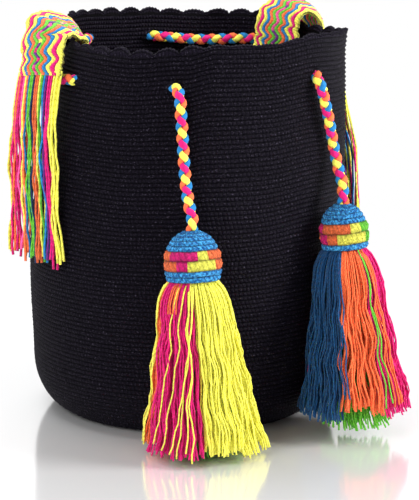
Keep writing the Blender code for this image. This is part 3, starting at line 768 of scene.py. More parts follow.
def outside_rings(around, root):
    """Even rings up the outside, two for each row of crochet: a groove, then a crest."""
    base_rings = 2 * round(rounded_base(0.0, 2)[2] / ROW_PITCH)
    rings = []
    for radius, height in zip(*rounded_base(0.0, base_rings)[:2]):
        rings.append(place(around, radius + slump(around, height), height))
    side_rings = 2 * (round((NECK_HEIGHT - BASE_ROUND_HEIGHT) / ROW_PITCH) + 3)
    turn = np.radians(around)
    for step in range(1, side_rings + 1):
        share = step / side_rings
        ring = base_rings + step
        wobble = np.sin(3 * turn + 0.05 * ring) + 0.6 * np.sin(7 * turn - 0.08 * ring)
        height = BASE_ROUND_HEIGHT + share * (root - BASE_ROUND_HEIGHT)
        rings.append(off_wall(around, 0.0, height + ROW_WOBBLE * wobble * math.sin(math.pi * share)))
    return np.array(rings)


def make_body(line):
    """One crocheted wall: outside, scalloped rim, inside, and the underside last."""
    shape = Shape()
    chance = np.random.default_rng(11)
    scatter = chance.uniform(-1, 1, SCALLOPS) * SCALLOP_SCATTER
    curls = chance.uniform(-1, 1, SCALLOPS) * SCALLOP_CURL
    columns = 2 * STITCHES
    around = np.arange(columns) * 360 / columns - 180
    odd = np.arange(columns) % 2 == 1
    root = rim_valley(around) - SCALLOP_ROOT

    outer = outside_rings(around, root)
    relief = chance.normal(0, ROW_SCATTER, outer.shape[:2])
    relief[1::2] += ROW_CREST
    relief[0::2] -= ROW_GROOVE
    relief[0] = 0.0
    outer = outer + grid_normals(outer) * relief[..., None]
    outer[..., 2] = np.maximum(outer[..., 2], 0.0)
    outer = [shape.add_points(ring, 0.0) for ring in parted_round(outer, line)]

    edge, arch, number = scallop_edge(around, scatter)
    curl = curls[number] * arch
    bead = np.where(odd, RIM_BEAD, -RIM_BEAD) + chance.normal(0, RIM_BEAD_SCATTER, columns)
    half_up, near_edge = (root + share * (edge - root) for share in (0.5, 0.85))
    rim = (
        (curl * 0.4 + bead * 0.6, half_up),
        (curl * 0.8 - RIM_PINCH, near_edge),
        (curl + bead, edge + bead),
        (curl - WALL / 2, edge + RIM_CROWN + bead),
        (curl - WALL - bead, edge + bead),
        (curl * 0.8 - WALL + RIM_PINCH, near_edge),
        (curl * 0.4 - WALL - bead * 0.6, half_up),
    )
    rim = [shape.add_points(off_wall(around, *row), 1.0) for row in rim]
    every = outer + rim
    shifts = chance.random(len(every))
    for ring, (low, high) in enumerate(zip(every, every[1:])):
        add_ring_pair(shape, low, high, ring / 2, (ring + 1) / 2, 2, shift=shifts[ring // 2])

    inner = []
    for ring in range(2 * INNER_ROWS + 1):
        bead = np.where(odd[:STITCHES], -0.0002, 0.0001) if ring % 2 else 0.0004
        inner.append(off_wall(around[::2], -WALL + bead, root[::2] - ring * ROW_PITCH / 2))
    inner = [shape.add_points(ring) for ring in parted_round(np.array(inner), line)]
    add_halving(shape, rim[-1], inner[0], len(every) / 2, 2)
    add_stack(shape, inner, np.arange(len(inner)) / 2, 1)

    depth = root[::4] - INNER_ROWS * ROW_PITCH - BASE_ROUND_HEIGHT
    deep = []
    for share in np.linspace(INNER_DEEP_TOP, 0.0, INNER_DEEP_RINGS):
        deep.append(off_wall(around[::4], -WALL, BASE_ROUND_HEIGHT + share * depth))
    for radius, height in list(zip(*rounded_base(WALL, 4)[:2]))[-2::-1]:
        deep.append(place(around[::4], radius, height))
    deep = [shape.add_points(ring) for ring in deep]
    add_halving(shape, inner[-1], deep[0], 0.0, 1)
    add_stack(shape, deep, 3.0 * np.arange(len(deep)), 0.5)
    add_fan(shape, deep[-1], (0, 0, WALL), True)

    first, *radii = np.linspace(BASE_RADIUS, FLOOR_MIDDLE_RADIUS, FLOOR_RINGS + 1)[1:]
    first = shape.add_points(place(around[::2], first, np.where(odd[:STITCHES], 0.0001, 0.0004)))
    under = []
    for ring, radius in enumerate(radii):
        under.append(shape.add_points(place(around[::4], radius, 0.0003 + FLOOR_RIDGE * (1 - ring % 2))))
    add_halving(shape, outer[0], first, 0.0, 2, inward=True)
    add_halving(shape, first, under[0], 0.5, 1, inward=True)
    for low, high in zip(under, under[1:]):
        add_ring_pair(shape, high, low, 0.5, 1.0, 1)
    add_fan(shape, under[-1], (0, 0, FLOOR_RIDGE), False)

    stitches = crochet_material("black_crochet_stitches", BLACK, GREY_FIBRE_AND_GLINT)
    return shape.make("crocheted_body", [stitches], "bag_body", "black_crochet")


# Shoulder strap

STRAP_BOTTOM = WALL + STRAP_THICKNESS / 2 + STRAP_GROOVE
STRAP_SAG = STRAP_BOTTOM + 0.0010
# Angle, distance off the side, height, way it faces, dip of its far edge and bulge of its middle;
# both loops' heights count from the rim
LEFT_LOOP = (
    (-88.6, 0.0192, -0.0320, -68.5, -3, -0.004),
    (-90.4, 0.0180, -0.0186, -68.9, -2, -0.005),
    (-91.6, 0.0175, -0.0104, -69.5, 1, -0.005),
    (-93.5, 0.0159, -0.0040, -73, 9, -0.005),
    (-94.5, 0.0129, 0.0018, -73, 11, -0.004),
    (-97, 0.0065, 0.0036, -76, 17, -0.002),
    (-102.5, -0.0045, 0.0022, -95, 13, 0),
    (-105, -0.0140, -0.0040, -98, 8, 0),
    (-105, -0.0174, -0.0200, -106, 2, 0),
    (-105, -0.0180, -0.0350, -107, 0, 0),
)
STRAP_INSIDE = (
    (-104, -0.0187, 0.2300, -105, 0, 0),
    (-102, -0.0200, 0.1900, -98, 0, 0),
    (-101, -0.0244, 0.1000, -88, 0, 0),
    (-100, -0.0280, 0.0500, -88, 0, 0),
    (-98, -0.0371, 0.0210, -88, 0, 0),
    (-96, -0.0537, STRAP_SAG, -88, 0, 0),
    (-90, -0.0827, STRAP_BOTTOM, -87, 0, 0),
    (90, -0.0977, STRAP_BOTTOM, -86, 0, 0),
    (100, -0.0607, STRAP_SAG, -85, 0, 0),
    (106, -0.0403, 0.0190, -84, 0, 0),
    (110, -0.0290, 0.0480, -83, 0, 0),
    (113, -0.0244, 0.1000, -82, 0, 0),
    (116, -0.0269, 0.1700, -80, 0, 0),
)
RIGHT_LOOP = (
    (119, -0.0210, -0.0700, -68, 0, 0),
    (122, -0.0165, -0.0400, -65, -3, -0.001),
    (121.8, -0.0157, -0.0199, -69, -3, -0.001),
    (122.6, -0.0153, -0.0078, -69.5, 0, -0.001),
    (121.9, -0.0120, 0.0026, -71, 1, 0),
    (120.7, -0.0035, 0.0060, -75, 5, -0.002),
    (119.2, 0.0045, 0.0048, -81, 9, -0.004),
    (118, 0.0120, -0.0010, -84, 13, -0.005),
    (117.4, 0.0158, -0.0110, -86, 8, -0.005),
    (116.6, 0.0185, -0.0220, -84, 4, -0.005),
    (115, 0.0195, -0.0320, -80, 0, -0.004),
)
STRIPES = (
    "yellow", "magenta", "yellow", "blue", "orange", "green", "pink", "green", "orange", "blue",
    "yellow", "magenta", "yellow",
)
# Yarns that fleck the pink stripe, and how often
FLECKS = {"pink": 0.45, "purple": 0.25, "magenta": 0.2, "yellow": 0.1}


def strap_frames():
    """Middle, width, face and running directions and bulge of the strap, pick by pick."""
    rows = []
    for part, base in ((LEFT_LOOP, RIM_HEIGHT), (STRAP_INSIDE, 0.0), (RIGHT_LOOP, RIM_HEIGHT)):
        for angle, distance, height, *turn in part:
            height += base
            rows.append((*place(angle, side_radius(height) + distance, height), *turn))
    found = spaced(curve_through(rows, 16), STRAP_STEP)
    middle = found[:, :3]
    along = unit(np.gradient(middle, axis=0))
    facing, dip = np.radians(found[:, 3]), np.radians(found[:, 4])
    across = np.stack([np.cos(facing) * np.cos(dip), np.sin(facing) * np.cos(dip), -np.sin(dip)], axis=1)
    face = unit(np.cross(along, across))
    return middle, np.cross(face, along), face, along, found[:, 5]


def bowed_half_width(bulge):
    """Half of the straight distance between the strap's edges where its middle bulges."""
    return STRAP_WIDTH / 2 - 4 / 3 * bulge * bulge / STRAP_WIDTH


def make_strap():
    """Band of thirteen raised stripes that run in zigzags, with knobbly yellow edges."""
    middle, across, face, _, bulge = strap_frames()
    picks = len(middle)
    columns = STRIPE_COLUMNS * len(STRIPES)
    chance = np.random.default_rng(23)
    run = np.arange(picks)[:, None] * STRAP_STEP
    level = np.linspace(-1, 1, columns + 1)[None]
    zigzag = np.sin((np.abs((run / ZIGZAG_LENGTH) % 1 - 0.5) * 4 - 1) * math.pi / 2)
    knob = EDGE_KNOB * np.sin(run / EDGE_BEAD * math.tau) * np.sign(level) * np.abs(level) ** 12
    side = level + (ZIGZAG_REACH * zigzag * (1 - level**6) + knob) / (STRAP_WIDTH / 2)

    column = np.arange(columns + 1)
    spot = (column % STRIPE_COLUMNS) / STRIPE_COLUMNS * 2 - 1
    stripe = np.minimum(column // STRIPE_COLUMNS, len(STRIPES) - 1)
    ridge = np.sqrt(np.clip(1 - spot * spot, 0, 1))
    at_edge = np.abs(level) > EDGE_START
    bead = np.where(at_edge, swing(run / EDGE_BEAD), swing(run / STRIPE_BEAD + 0.37 * stripe + 0.25 * spot))
    rise = STRIPE_RISE * ridge * (0.70 + 0.30 * bead + 0.05 * at_edge)
    rise = rise + chance.normal(0, STRIPE_SCATTER, side.shape)
    thin = (STRAP_THICKNESS / 2 - STRAP_GROOVE) * (1 - 0.75 * level**10)
    bow = bulge[:, None] * (1 - side**2)
    flat = middle[:, None] + across[:, None] * (side * bowed_half_width(bulge)[:, None])[..., None]
    shape = Shape()
    top, low = (
        shape.add_points(flat + face[:, None] * (bow + sign * (thin + rise))[..., None]).reshape(picks, -1)
        for sign in (1, -1)
    )

    slots = np.tile(np.repeat([SLOT[name] for name in STRIPES], STRIPE_COLUMNS), (picks - 1, 1))
    flecked = slots[0] == SLOT["pink"]
    flecks = chance.choice(list(FLECKS), p=list(FLECKS.values()), size=picks)
    for pick in range(picks - 1):
        slots[pick, flecked] = SLOT[flecks[pick // 2]]
    pick = np.arange(picks - 1)[:, None]
    places = [
        np.stack(
            np.broadcast_arrays((column[:-1] + du) / STRIPE_COLUMNS, (pick + dv) * STRAP_STEP / STRIPE_BEAD),
            axis=-1,
        )
        for du, dv in CORNERS
    ]
    places = np.stack(places, axis=-2).reshape(-1, 4, 2)
    for numbers, way in ((top, -1), (low, 1)):
        faces = np.stack([numbers[:-1, :-1], numbers[:-1, 1:], numbers[1:, 1:], numbers[1:, :-1]], axis=-1)
        shape.add_faces(faces.reshape(-1, 4)[:, ::way], places[:, ::way], slots.ravel())
    for first, second in ((top[:, 0], low[:, 0]), (low[:, -1], top[:, -1])):
        faces = np.stack([first[:-1], first[1:], second[1:], second[:-1]], axis=1)
        shape.add_faces(faces, None, SLOT["yellow"])
    for end, way in ((0, 1), (-1, -1)):
        shape.add_faces([np.concatenate([top[end], low[end, ::-1]])[::way]], None, SLOT["yellow"])
    materials = [weave_material(f"strap_{name}", colour) for name, colour in YARNS.items()]
    return shape.make("woven_strap", materials, "shoulder_strap", "woven_stripes")


# Fringes

# Yarns from the far edge to the near one: colour and how many lie side by side
FRINGE_ORDER = (
    ("yellow", 2), ("magenta", 3), ("orange", 2), ("magenta", 3), ("pink", 2), ("yellow", 2),
    ("orange", 3), ("blue", 2), ("green", 3), ("navy", 3), ("orange", 4), ("yellow", 2),
    ("green", 1), ("blue", 3), ("purple", 2), ("magenta", 4), ("yellow", 4),
)
# Where the outer yarns end: angle and distance off the wall
LEFT_FRINGE = {"near": (-68.7, 0.0060), "far": (-94.5, 0.0185), "drop": 0.139, "tangle": 0.0}
RIGHT_FRINGE = {"near": (84.0, 0.0198), "far": (105.0, 0.0170), "drop": 0.124, "tangle": 0.42}


def hanging_yarns(start, down, end, share):
    """Yarns that leave the strap's end along the strap and come to hang straight down."""
    reach = FRINGE_EASE * np.linalg.norm(end - start, axis=-1, keepdims=True)
    leaving = start + down * reach
    hanging = end + np.array([0.0, 0.0, 1.0]) * reach
    share = share[:, None, None]
    rest = 1 - share
    found = rest**3 * start + 3 * rest**2 * share * leaving + 3 * rest * share**2 * hanging + share**3 * end
    return found.transpose(1, 0, 2)


def make_fringe(side, corners, seed):
    """Yarn ends that leave the strap's end side by side and hang against the bag."""
    chance = np.random.default_rng(seed)
    middle, across, face, along, bulge = strap_frames()
    pick, way = (0, -1) if side == "left" else (-1, 1)
    point = middle[pick]
    down = along[pick] * way
    outward = unit(np.array([*(point[:2] - lean(point[2])), 0.0]))
    groups = np.repeat(np.arange(len(FRINGE_ORDER)), [count for _, count in FRINGE_ORDER])
    count = len(groups)
    spread = (np.arange(count) + 0.5) / count * 2 - 1
    aside = spread * bowed_half_width(bulge[pick])
    start = point - down * FRINGE_INTO_STRAP + across[pick] * aside[:, None]
    near_end, far_end = (off_wall(*corners[end], point[2] - corners["drop"]) for end in ("near", "far"))
    crossed = np.clip(spread + corners["tangle"] * np.sin(2.4 * np.arange(count)), -1, 1)
    finish = far_end + (near_end - far_end) * ((crossed + 1) / 2)[:, None]
    finish[:, 2] += chance.normal(0, FRINGE_END_SCATTER, count)
    share = np.linspace(0, 1, FRINGE_STATIONS)
    paths = hanging_yarns(start, down, finish, share)
    bow = bulge[pick] * (1 - spread**2)[:, None] * (1 - eased(2 * share))
    paths = paths + face[pick] * bow[..., None]

    shared = chance.uniform(0, math.tau, (len(FRINGE_ORDER), 4))[groups]
    own = chance.uniform(0, math.tau, (count, 4))

    def wave(form, phases):
        length, height = form
        return np.sin(share * corners["drop"] / length * math.tau + phases[:, None]) * height

    sideways = wave(FRINGE_SWAY, shared[:, 0]) + wave(FRINGE_OWN_SWAY, own[:, 0])
    sideways = sideways + wave(FRINGE_RIPPLE, own[:, 2])
    out = wave(FRINGE_SWELL, shared[:, 1]) + wave(FRINGE_OWN_SWELL, own[:, 1])
    layer = (np.arange(count) % 2 - 0.5)[:, None] * FRINGE_LAYERS
    grow = eased(2.5 * share)
    paths = paths + unit(near_end - far_end) * (sideways * grow)[..., None]
    paths = paths + outward * (layer + out * grow)[..., None]
    paths[:, 2:] = pushed_clear(paths[:, 2:], FRINGE_RADIUS + FRINGE_OFF_WALL)
    radii = frayed(FRINGE_RADIUS, FRINGE_STATIONS, *FRINGE_TIPS)
    shape = Shape()
    for path, group in zip(paths, groups):
        slot = SLOT[FRINGE_ORDER[group][0]]
        add_tubes(shape, path[None], radii, 7, FRINGE_TURN, chance.random(1), slot)
    name = f"{side}_fringe_yarns"
    materials = [yarn_material(f"{name}_{yarn}", colour, 0.55, 1.0) for yarn, colour in YARNS.items()]
    return shape.make(name, materials, f"strap_fringe_{side}", "strap_yarn")


# Tassels

# Heights of the cap's rows above its foot, up to where the dome starts, and the dome's rows
LEFT_ROWS = (0.0, 0.0043, 0.0086, 0.0167, 0.0240)
RIGHT_ROWS = (0.0, 0.0048, 0.0134, 0.0213)
DOME_ROWS = 5
# Outline of a cap from its foot: share of its height, share of its radius
CAP_OUTLINE = (
    (0.0, 0.90), (0.10, 0.94), (0.22, 0.985), (0.36, 1.0), (0.46, 0.99), (0.53, 0.965), (0.60, 0.915),
    (0.65, 0.865), (0.71, 0.82), (0.77, 0.765), (0.84, 0.675), (0.90, 0.555), (0.96, 0.37), (1.0, 0.22),
)
# Rows that are bands of colour, with blocks that run from each angle to the next
LEFT_BANDS = {
    2: ((-180, "yellow"), (-110, "orange"), (-56, "magenta"),
        (-31, "yellow"), (36, "orange"), (100, "magenta")),
    3: ((-180, "yellow"), (-130, "orange"), (-76, "magenta"),
        (-9, "yellow"), (14, "orange"), (100, "yellow")),
}
RIGHT_BANDS = {
    1: ((-180, "orange"), (-110, "magenta"), (-70, "orange"),
        (-42, "yellow"), (42, "green"), (110, "magenta")),
    2: ((-180, "magenta"), (-87, "orange"), (-8, "yellow"), (23, "green"), (90, "yellow")),
}


def cap_radius(cap, rise):
    """Outer radius of the cap at a height above its foot."""
    outline = curve_through(CAP_OUTLINE, 12)
    widest = cap["radius"] * cap["girth"]
    return np.maximum(CORD_ROOM, np.interp(rise / cap["tall"], outline[:, 0], outline[:, 1]) * widest)


def leaned(points, cap):
    """The cap's points, turned a little as it hangs: its top towards the bag, its foot aside."""
    middle = cap_middle(cap)
    pivot = np.array([*middle, cap["top"] - CAP_PIVOT * cap["tall"]])
    outward = unit(np.array([*middle, 0.0]))
    aside = np.array([-outward[1], outward[0], 0.0])
    found = points - pivot
    for sideways, degrees in ((outward, cap["lean"]), (aside, cap["aside"])):
        turn = math.radians(degrees)
        level, upright = found @ sideways, found[..., 2].copy()
        found = found + np.multiply.outer(level * (math.cos(turn) - 1) - upright * math.sin(turn), sideways)
        found[..., 2] = upright * math.cos(turn) + level * math.sin(turn)
    return found + pivot


def block_at(blocks, angles):
    """Yarn of the block at each angle, and how far in degrees its nearest side is."""
    starts = np.array([start for start, _ in blocks], float)
    index = (np.searchsorted(starts, angles, side="right") - 1) % len(starts)
    after = np.append(starts[1:], starts[0] + 360)
    away = np.minimum(angles - starts[index], after[index] - angles)
    return np.array([SLOT[name] for _, name in blocks])[index], away


def make_cap(side, cap, edges, bands):
    """Crocheted dome: rope-like blue rows, and two bands of puffy blocks of colour."""
    chance = np.random.default_rng(47)
    foot = np.array([*cap_middle(cap), cap["top"] - cap["tall"]])
    rise = np.linspace(0, cap["tall"], 600)
    profile = cap_radius(cap, rise)
    lengths = lengths_along(np.column_stack([profile, rise]))
    marks = list(np.interp(edges, rise, lengths))
    marks += list(np.linspace(marks[-1], lengths[-1], DOME_ROWS + 1)[1:])
    columns = CAP_STITCHES * CAP_ACROSS
    turn = np.arange(columns) * math.tau / columns - math.pi
    spot = (np.arange(columns) % CAP_ACROSS) / CAP_ACROSS
    grid, relief, slots = [], [], []
    wobble = np.sin(2 * turn + 1.0) + 0.7 * np.sin(5 * turn) + 0.5 * np.sin(9 * turn + 2.0)
    for row, (low, high) in enumerate(zip(marks, marks[1:])):
        yarn, puff = np.full(columns, SLOT["blue"]), 1.0
        if row in bands:
            yarn, away = block_at(bands[row], np.degrees(turn))
            puff = np.clip(away / PUFF_EDGE, 0.0, 1.0) ** 0.5
        for step in range(CAP_UP):
            share = step / CAP_UP
            fade = min(1.0, row + share, (len(marks) - 2 - row - share) / 2)
            length = low + (high - low) * share + CAP_WOBBLE * wobble * max(0.0, fade)
            radius = np.interp(length, lengths, profile)
            grid.append(circle(radius, turn, np.interp(length, lengths, rise)))
            arch = math.sqrt(math.sin(math.pi * share)) * puff * (0.80 + 0.20 * swing(spot + 0.8 * share))
            relief.append(CAP_RELIEF * np.minimum(1.0, radius / cap["radius"] + 0.15) * (arch - CAP_SUNK))
            slots.append(yarn)
    grid = np.array([*grid, circle(profile[-1], turn, rise[-1])])
    relief = np.array([*relief, np.zeros(columns)])
    relief = relief + chance.normal(0, CAP_SCATTER, relief.shape)
    grid = grid + grid_normals(grid) * relief[..., None] + foot
    shape = Shape()
    numbers = [shape.add_points(leaned(ring, cap)) for ring in grid]
    for ring, (low, high) in enumerate(zip(numbers, numbers[1:])):
        add_ring_pair(shape, low, high, ring / CAP_UP, (ring + 1) / CAP_UP, CAP_ACROSS, slots[ring])
    wall = (cap["radius"] - CAP_WALL) * (1 - CAP_FOOT_TUCK)
    high = CAP_INSIDE_SHARE * cap["height"]
    inner = [numbers[0]]
    lining = (
        (wall, CAP_LINING_FOOT),
        (wall, CAP_LINING_SIDE),
        (wall * 0.95, high),
        (wall * 0.6, high + CAP_LINING_ROUND),
    )
    for radius, height in lining:
        inner.append(shape.add_points(leaned(circle(radius, turn, height) + foot, cap)))
    for above, below in zip(inner, inner[1:]):
        add_ring_pair(shape, below, above, 0.0, 0.5, CAP_ACROSS, SLOT["blue"])
    add_fan(shape, inner[-1], leaned(foot + (0, 0, high + 0.006), cap), True, SLOT["blue"])
    add_fan(shape, numbers[-1], leaned(foot + (0, 0, cap["tall"] - 0.001), cap), True, SLOT["blue"])
    # Painted light and shade: a shaded copy and the lit colour of each yarn, for its cap's loops.
    tones = {name: (tuple(part * CAP_SHADE for part in colour), colour) for name, colour in YARNS.items()}
    tones["blue"] = CAP_BLUES_SHADED_AND_LIT
    materials = [cap_material(f"cap_{side}_{name}", *shaded_and_lit) for name, shaded_and_lit in tones.items()]
    return shape.make(f"crocheted_cap_{side}", materials, f"tassel_{side}_cap", "cap_crochet")


# How much the yarns of a colour differ in lightness
SKIRT_VARIETY = {"green": 0.20, "yellow": 0.20, "magenta": 0.25, "orange": 0.20, "blue": 0.60}
# Hanks: yarn, angles it lies between and height of its ends; the first one fills the core.
# Strays lie on the outside: yarn, how many, angles they start between, angles they end between
# and how far down they reach
LEFT_SKIRT = {
    "foot": np.array([-0.0335, -0.1440]),
    "spread": 0.0465,
    "hanks": (
        ("green", 0, 0, 0.0008),
        ("magenta", -95, -22, 0.0028),
        ("yellow", -22, 100, 0.0030),
        ("orange", 100, 265, 0.0040),
    ),
    "strays": (
        ("yellow", 4, (-30, -20), (-56, -32), 1.0),
        ("yellow", 2, (-52, -38), (-78, -66), 0.97),
        ("yellow", 4, (-114, -98), (-116, -98), 0.98),
        ("orange", 4, (-66, -50), (-64, -52), 0.16),
    ),
}
RIGHT_SKIRT = {
    "foot": np.array([0.0925, -0.1384]),
    "spread": 0.0465,
    "hanks": (
        ("green", 0, 0, 0.0070),
        ("blue", -130, -38, 0.0160),
        ("orange", -38, 13, 0.0235),
        ("magenta", 13, 230, 0.0200),
    ),
    "strays": (
        ("green", 2, (14, 16), (12, 24), 0.84),
        ("orange", 4, (20, 30), (24, 42), 0.97),
        ("blue", 3, (-40, -34), (-34, -26), 0.84),
    ),
}


def skirt_middle(cap, skirt, neck, height):
    start = leaned(np.array([*cap_middle(cap), neck]), cap)[:2]
    share = np.clip((neck - height) / neck, 0, 1)[..., None]
    return start + (skirt["foot"] - start) * share


def skirt_radius(cap, skirt, neck, height):
    gathered = (cap["radius"] - CAP_WALL) * (1 - CAP_FOOT_TUCK) - 3 * CLEARANCE
    share = np.clip((neck - height) / neck, 0, 1)
    shoulder = np.minimum(1.0, share / SHOULDER_DROP) ** SHOULDER_CURVE
    opened = SHOULDER_SHARE * shoulder + (1 - SHOULDER_SHARE) * share
    plain = gathered + (skirt["spread"] - gathered) * opened
    return plain * (1 + SKIRT_FLARE * (share**4 - 0.25 * share))


def hank_of(skirt, depth, angle):
    """Number of the hank that holds the yarn at a share of the radius and an angle."""
    if depth < CORE_SHARE:
        return 0
    for number, (_, start, end, _) in enumerate(skirt["hanks"]):
        if start <= (angle - start) % 360 + start < end:
            return number
    return len(skirt["hanks"]) - 1


def sunflower(count):
    """Evenly spread places on a disc of radius 1: share of the radius and angle in degrees."""
    order = np.arange(count)
    return np.sqrt((order + 0.5) / count), (order * 137.508) % 360


def on_disc(depth, angle):
    return circle(depth, np.radians(angle), 0.0)[..., :2]


def waves(chance, size, wave, drop):
    """Sideways waves of so many yarns at distances down from their start, in two directions."""
    lengths, height = wave
    long = chance.uniform(*lengths, (size, 1, 2))
    phase = chance.uniform(0, math.tau, (size, 1, 2))
    return np.sin(drop[..., None] / long * math.tau + phase) * height


def planned_yarns(chance, skirt):
    """Place of each yarn at its start and end, its hank and how much of its length it reaches down."""
    depth, angle = sunflower(SKIRT_YARNS)
    angle = angle + chance.normal(0, 3, SKIRT_YARNS)
    hank = np.array([hank_of(skirt, *spot) for spot in zip(depth, angle)])
    last = np.column_stack([depth, angle])
    reach = np.ones(SKIRT_YARNS)
    names = [row[0] for row in skirt["hanks"]]
    for name, count, starts, ends, down in skirt["strays"]:
        depth = np.append(depth, np.full(count, STRAY_START))
        angle = np.append(angle, np.linspace(*starts, count))
        final = chance.permutation(np.linspace(*ends, count))
        last = np.vstack([last, np.column_stack([np.full(count, STRAY_END), final])])
        hank = np.append(hank, np.full(count, names.index(name)))
        reach = np.append(reach, np.full(count, down))
    return depth, angle, last, hank, reach


def skirt_paths(chance, cap, skirt):
    """Lines of yarns that leave the cap together, cling in clumps and fall apart, and their hanks."""
    depth, angle, last, hank, reach = planned_yarns(chance, skirt)
    total = len(depth)
    centres = on_disc(*sunflower(CLUMPS))
    first = on_disc(depth, angle)
    clump = np.argmin(np.linalg.norm(first[:, None] - centres[None], axis=2), axis=1)

    neck = cap["top"] - cap["tall"]
    share = np.linspace(0, 1, SKIRT_STATIONS) ** SKIRT_SPACING
    ends = np.array([row[3] for row in skirt["hanks"]])[hank]
    ends = ends + np.abs(chance.normal(0, SKIRT_END_SCATTER, total))
    ends = ends + np.abs(chance.normal(0, CLUMP_END_SCATTER, CLUMPS))[clump]
    ends = neck + (ends - neck) * reach
    start = neck + SKIRT_TUCK + SKIRT_TUCK_SCATTER * chance.random(total)
    height = start[:, None] + (ends - start)[:, None] * share
    drop = start[:, None] - height
    fall = np.clip((neck - height) / neck, 0, 1)
    moved = first[:, None] + (on_disc(*last.T) - first)[:, None] * fall[..., None]
    moved = moved * (depth[:, None] / np.maximum(np.linalg.norm(moved, axis=2), 1e-6))[..., None]
    pull = CLUMP_PULL * eased(3 * fall) * (depth < 1.0)[:, None]
    moved = moved + (centres[clump][:, None] - moved) * pull[..., None]
    radius = skirt_radius(cap, skirt, neck, height) - YARN_RADIUS
    level = np.broadcast_to(np.linspace(0, neck, SKIRT_STATIONS), (CLUMPS, SKIRT_STATIONS))
    common = waves(chance, CLUMPS, CLUMP_SWAY, level) + waves(chance, CLUMPS, CLUMP_RIPPLE, level)
    steps = np.clip(drop / neck, 0, 1) * (SKIRT_STATIONS - 1)
    below = np.clip(steps.astype(int), 0, SKIRT_STATIONS - 2)
    part = (steps - below)[..., None]
    shared = common[clump[:, None], below] * (1 - part) + common[clump[:, None], below + 1] * part
    loose = np.where(chance.random(total) < LOOSE_SHARE, LOOSE_WAVE, 1.0)[:, None, None]
    own = waves(chance, total, YARN_RIPPLE, drop) * loose + waves(chance, total, YARN_SWAY, drop)
    flat = skirt_middle(cap, skirt, neck, height) + moved * radius[..., None]
    flat = flat + (shared + own) * eased(3 * fall)[..., None]
    paths = pushed_clear(np.concatenate([flat, height[..., None]], axis=-1), YARN_RADIUS + YARN_OFF_WALL)
    paths[..., 2] = np.maximum(paths[..., 2], YARN_RADIUS)
    return paths, hank


def make_skirt(side, cap, skirt, seed):
    """Hundreds of yarns, one piece for each colour."""
    chance = np.random.default_rng(seed)
    paths, hank = skirt_paths(chance, cap, skirt)
    radii = frayed(YARN_RADIUS, SKIRT_STATIONS, *SKIRT_TIPS)
    pieces = []
    for number, (name, *_) in enumerate(skirt["hanks"]):
        chosen = hank == number
        shape = Shape()
        add_tubes(shape, paths[chosen], radii, 5, YARN_TURN, chance.random(int(chosen.sum())))
        finish = yarn_material(f"skirt_{side}_{name}", SKIRT_COLOURS[name], SKIRT_VARIETY[name])
        whole = f"tassel_{side}_{name}_yarns", [finish], f"tassel_{side}_yarn_{name}", f"yarn_{name}"
        pieces.append(shape.make(*whole))
    return pieces


def dress_knots():
    """The hidden knots keep their solids and take the drawstring's yarn."""
    finish = yarn_material("knot_yarn", YARNS["orange"])
    knots = [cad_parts[f"tassel_{side}_knot"] for side in ("left", "right")]
    for knot in knots:
        knot.data.materials.clear()
        knot.data.materials.append(finish)
    return knots


# Camera, floor and light

CAMERA_AWAY = 2.0
CAMERA_HEIGHT = 0.574
CAMERA_TURN = -20.0
CAMERA_ASIDE = 0.0200
CAMERA_PITCH = 12.7
CAMERA_LENS = 183.9
SENSOR = 36.0
FLOOR_SIZE = 12.0
FLOOR_BELOW = 0.0002
# Distances from the bag's middle between which the floor fades into the backdrop
FLOOR_FADE = (0.20, 0.60)
SKY_LIGHT = 0.47
LIT_HEIGHT = 0.13
# Place, size and power of each lamp
LAMPS = {
    "key": ((1.8, -1.0, 1.2), 1.0, 58),
    "fill": ((-1.5, -1.0, 1.2), 1.2, 20),
    "top": ((-0.3, 0.5, 1.9), 1.3, 24),
}


def linked(name, data):
    made = bpy.data.objects.new(name, data)
    bpy.context.scene.collection.objects.link(made)
    return made


def make_camera():
    data = bpy.data.cameras.new("camera")
    data.sensor_fit = "VERTICAL"
    data.sensor_height = SENSOR
    data.lens = CAMERA_LENS
    camera = linked("camera", data)
    turn = math.radians(CAMERA_TURN)
    back = np.array([math.sin(turn), -math.cos(turn)])
    right = np.array([math.cos(turn), math.sin(turn)])
    camera.location = (*(CAMERA_AWAY * back + CAMERA_ASIDE * right), CAMERA_HEIGHT)
    camera.rotation_euler = (math.radians(90 - CAMERA_PITCH), 0.0, turn)
    bpy.context.scene.camera = camera


def make_lamp(name, spot, size, watts):
    data = bpy.data.lights.new(name, "AREA")
    data.shape = "DISK"
    data.size = size
    data.energy = watts
    lamp = linked(name, data)
    lamp.location = spot
    toward = np.array([0.0, 0.0, LIT_HEIGHT]) - spot
    level = math.hypot(toward[0], toward[1])
    lamp.rotation_euler = (math.atan2(level, -toward[2]), 0.0, math.atan2(-toward[0], toward[1]))


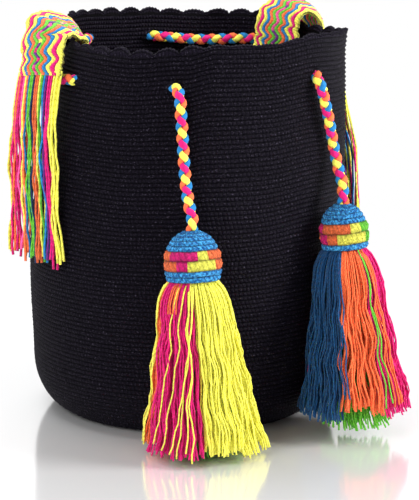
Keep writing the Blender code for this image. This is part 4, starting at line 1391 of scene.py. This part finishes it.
def floor_material():
    """Polished white table that fades into a white backdrop away from the bag."""
    nodes = Nodes("floor")
    spot = nodes.add("NewGeometry", {})["Position"]
    away = nodes.add("VectorMath", {0: spot}, operation="LENGTH")["Value"]
    stretch = {"Value": away, "From Min": FLOOR_FADE[0], "From Max": FLOOR_FADE[1]}
    fade = nodes.add("MapRange", stretch, interpolation_type="SMOOTHSTEP")[0]
    share = nodes.times(fade, nodes.add("LightPath", {})["Is Camera Ray"])
    nodes.finish((0.92, 0.92, 0.925, 1.0), 0.13, specular=0.5)
    nodes.shader.inputs["Metallic"].default_value = 0.42
    glow = nodes.add("Emission", {"Color": WHITE})[0]
    both = nodes.add("MixShader", {0: share, 1: nodes.shader.outputs[0], 2: glow})[0]
    feed(nodes.tree, both, nodes.tree.nodes["Material Output"].inputs["Surface"])
    return nodes.material


def make_world():
    """Soft even light, and plain white where the camera or a gloss sees past the floor."""
    world = bpy.data.worlds.new("studio")
    world.use_nodes = True
    tree = world.node_tree
    sky = add_node(tree, "Background", {"Color": WHITE, "Strength": SKY_LIGHT})
    white = add_node(tree, "Background", {"Color": WHITE, "Strength": 1.0})
    rays = add_node(tree, "LightPath", {}).outputs
    seen = add_node(tree, "Math", {0: rays["Is Camera Ray"], 1: rays["Is Glossy Ray"]}, operation="MAXIMUM")
    both = add_node(tree, "MixShader", {0: seen.outputs[0], 1: sky.outputs[0], 2: white.outputs[0]})
    feed(tree, both.outputs[0], tree.nodes["World Output"].inputs["Surface"])
    bpy.context.scene.world = world


def make_stage():
    mesh = bpy.data.meshes.new("floor")
    corners = [(FLOOR_SIZE * (2 * x - 1), FLOOR_SIZE * (2 * y - 1), 0) for x, y in CORNERS]
    mesh.from_pydata(corners, [], [(0, 1, 2, 3)])
    mesh.materials.append(floor_material())
    floor = linked("floor", mesh)
    floor.location = (0, 0, -FLOOR_BELOW)
    for name, lamp in LAMPS.items():
        make_lamp(name, *lamp)
    make_world()
    bpy.context.scene.view_settings.view_transform = "Standard"


def main():
    make_camera()
    line = cord_line()
    cord, path = make_drawstring(line)
    body = make_body(line)
    strap = make_strap()
    fringes = [make_fringe("left", LEFT_FRINGE, 31), make_fringe("right", RIGHT_FRINGE, 37)]
    hung = [
        make_cap("left", LEFT_CAP, LEFT_ROWS, LEFT_BANDS),
        make_cap("right", RIGHT_CAP, RIGHT_ROWS, RIGHT_BANDS),
    ]
    hung += make_skirt("left", LEFT_CAP, LEFT_SKIRT, 41)
    hung += make_skirt("right", RIGHT_CAP, RIGHT_SKIRT, 43)
    hung += dress_knots()
    round(float(lengths_along(strap_frames()[0])[-1]), 3)
    make_stage()


main()
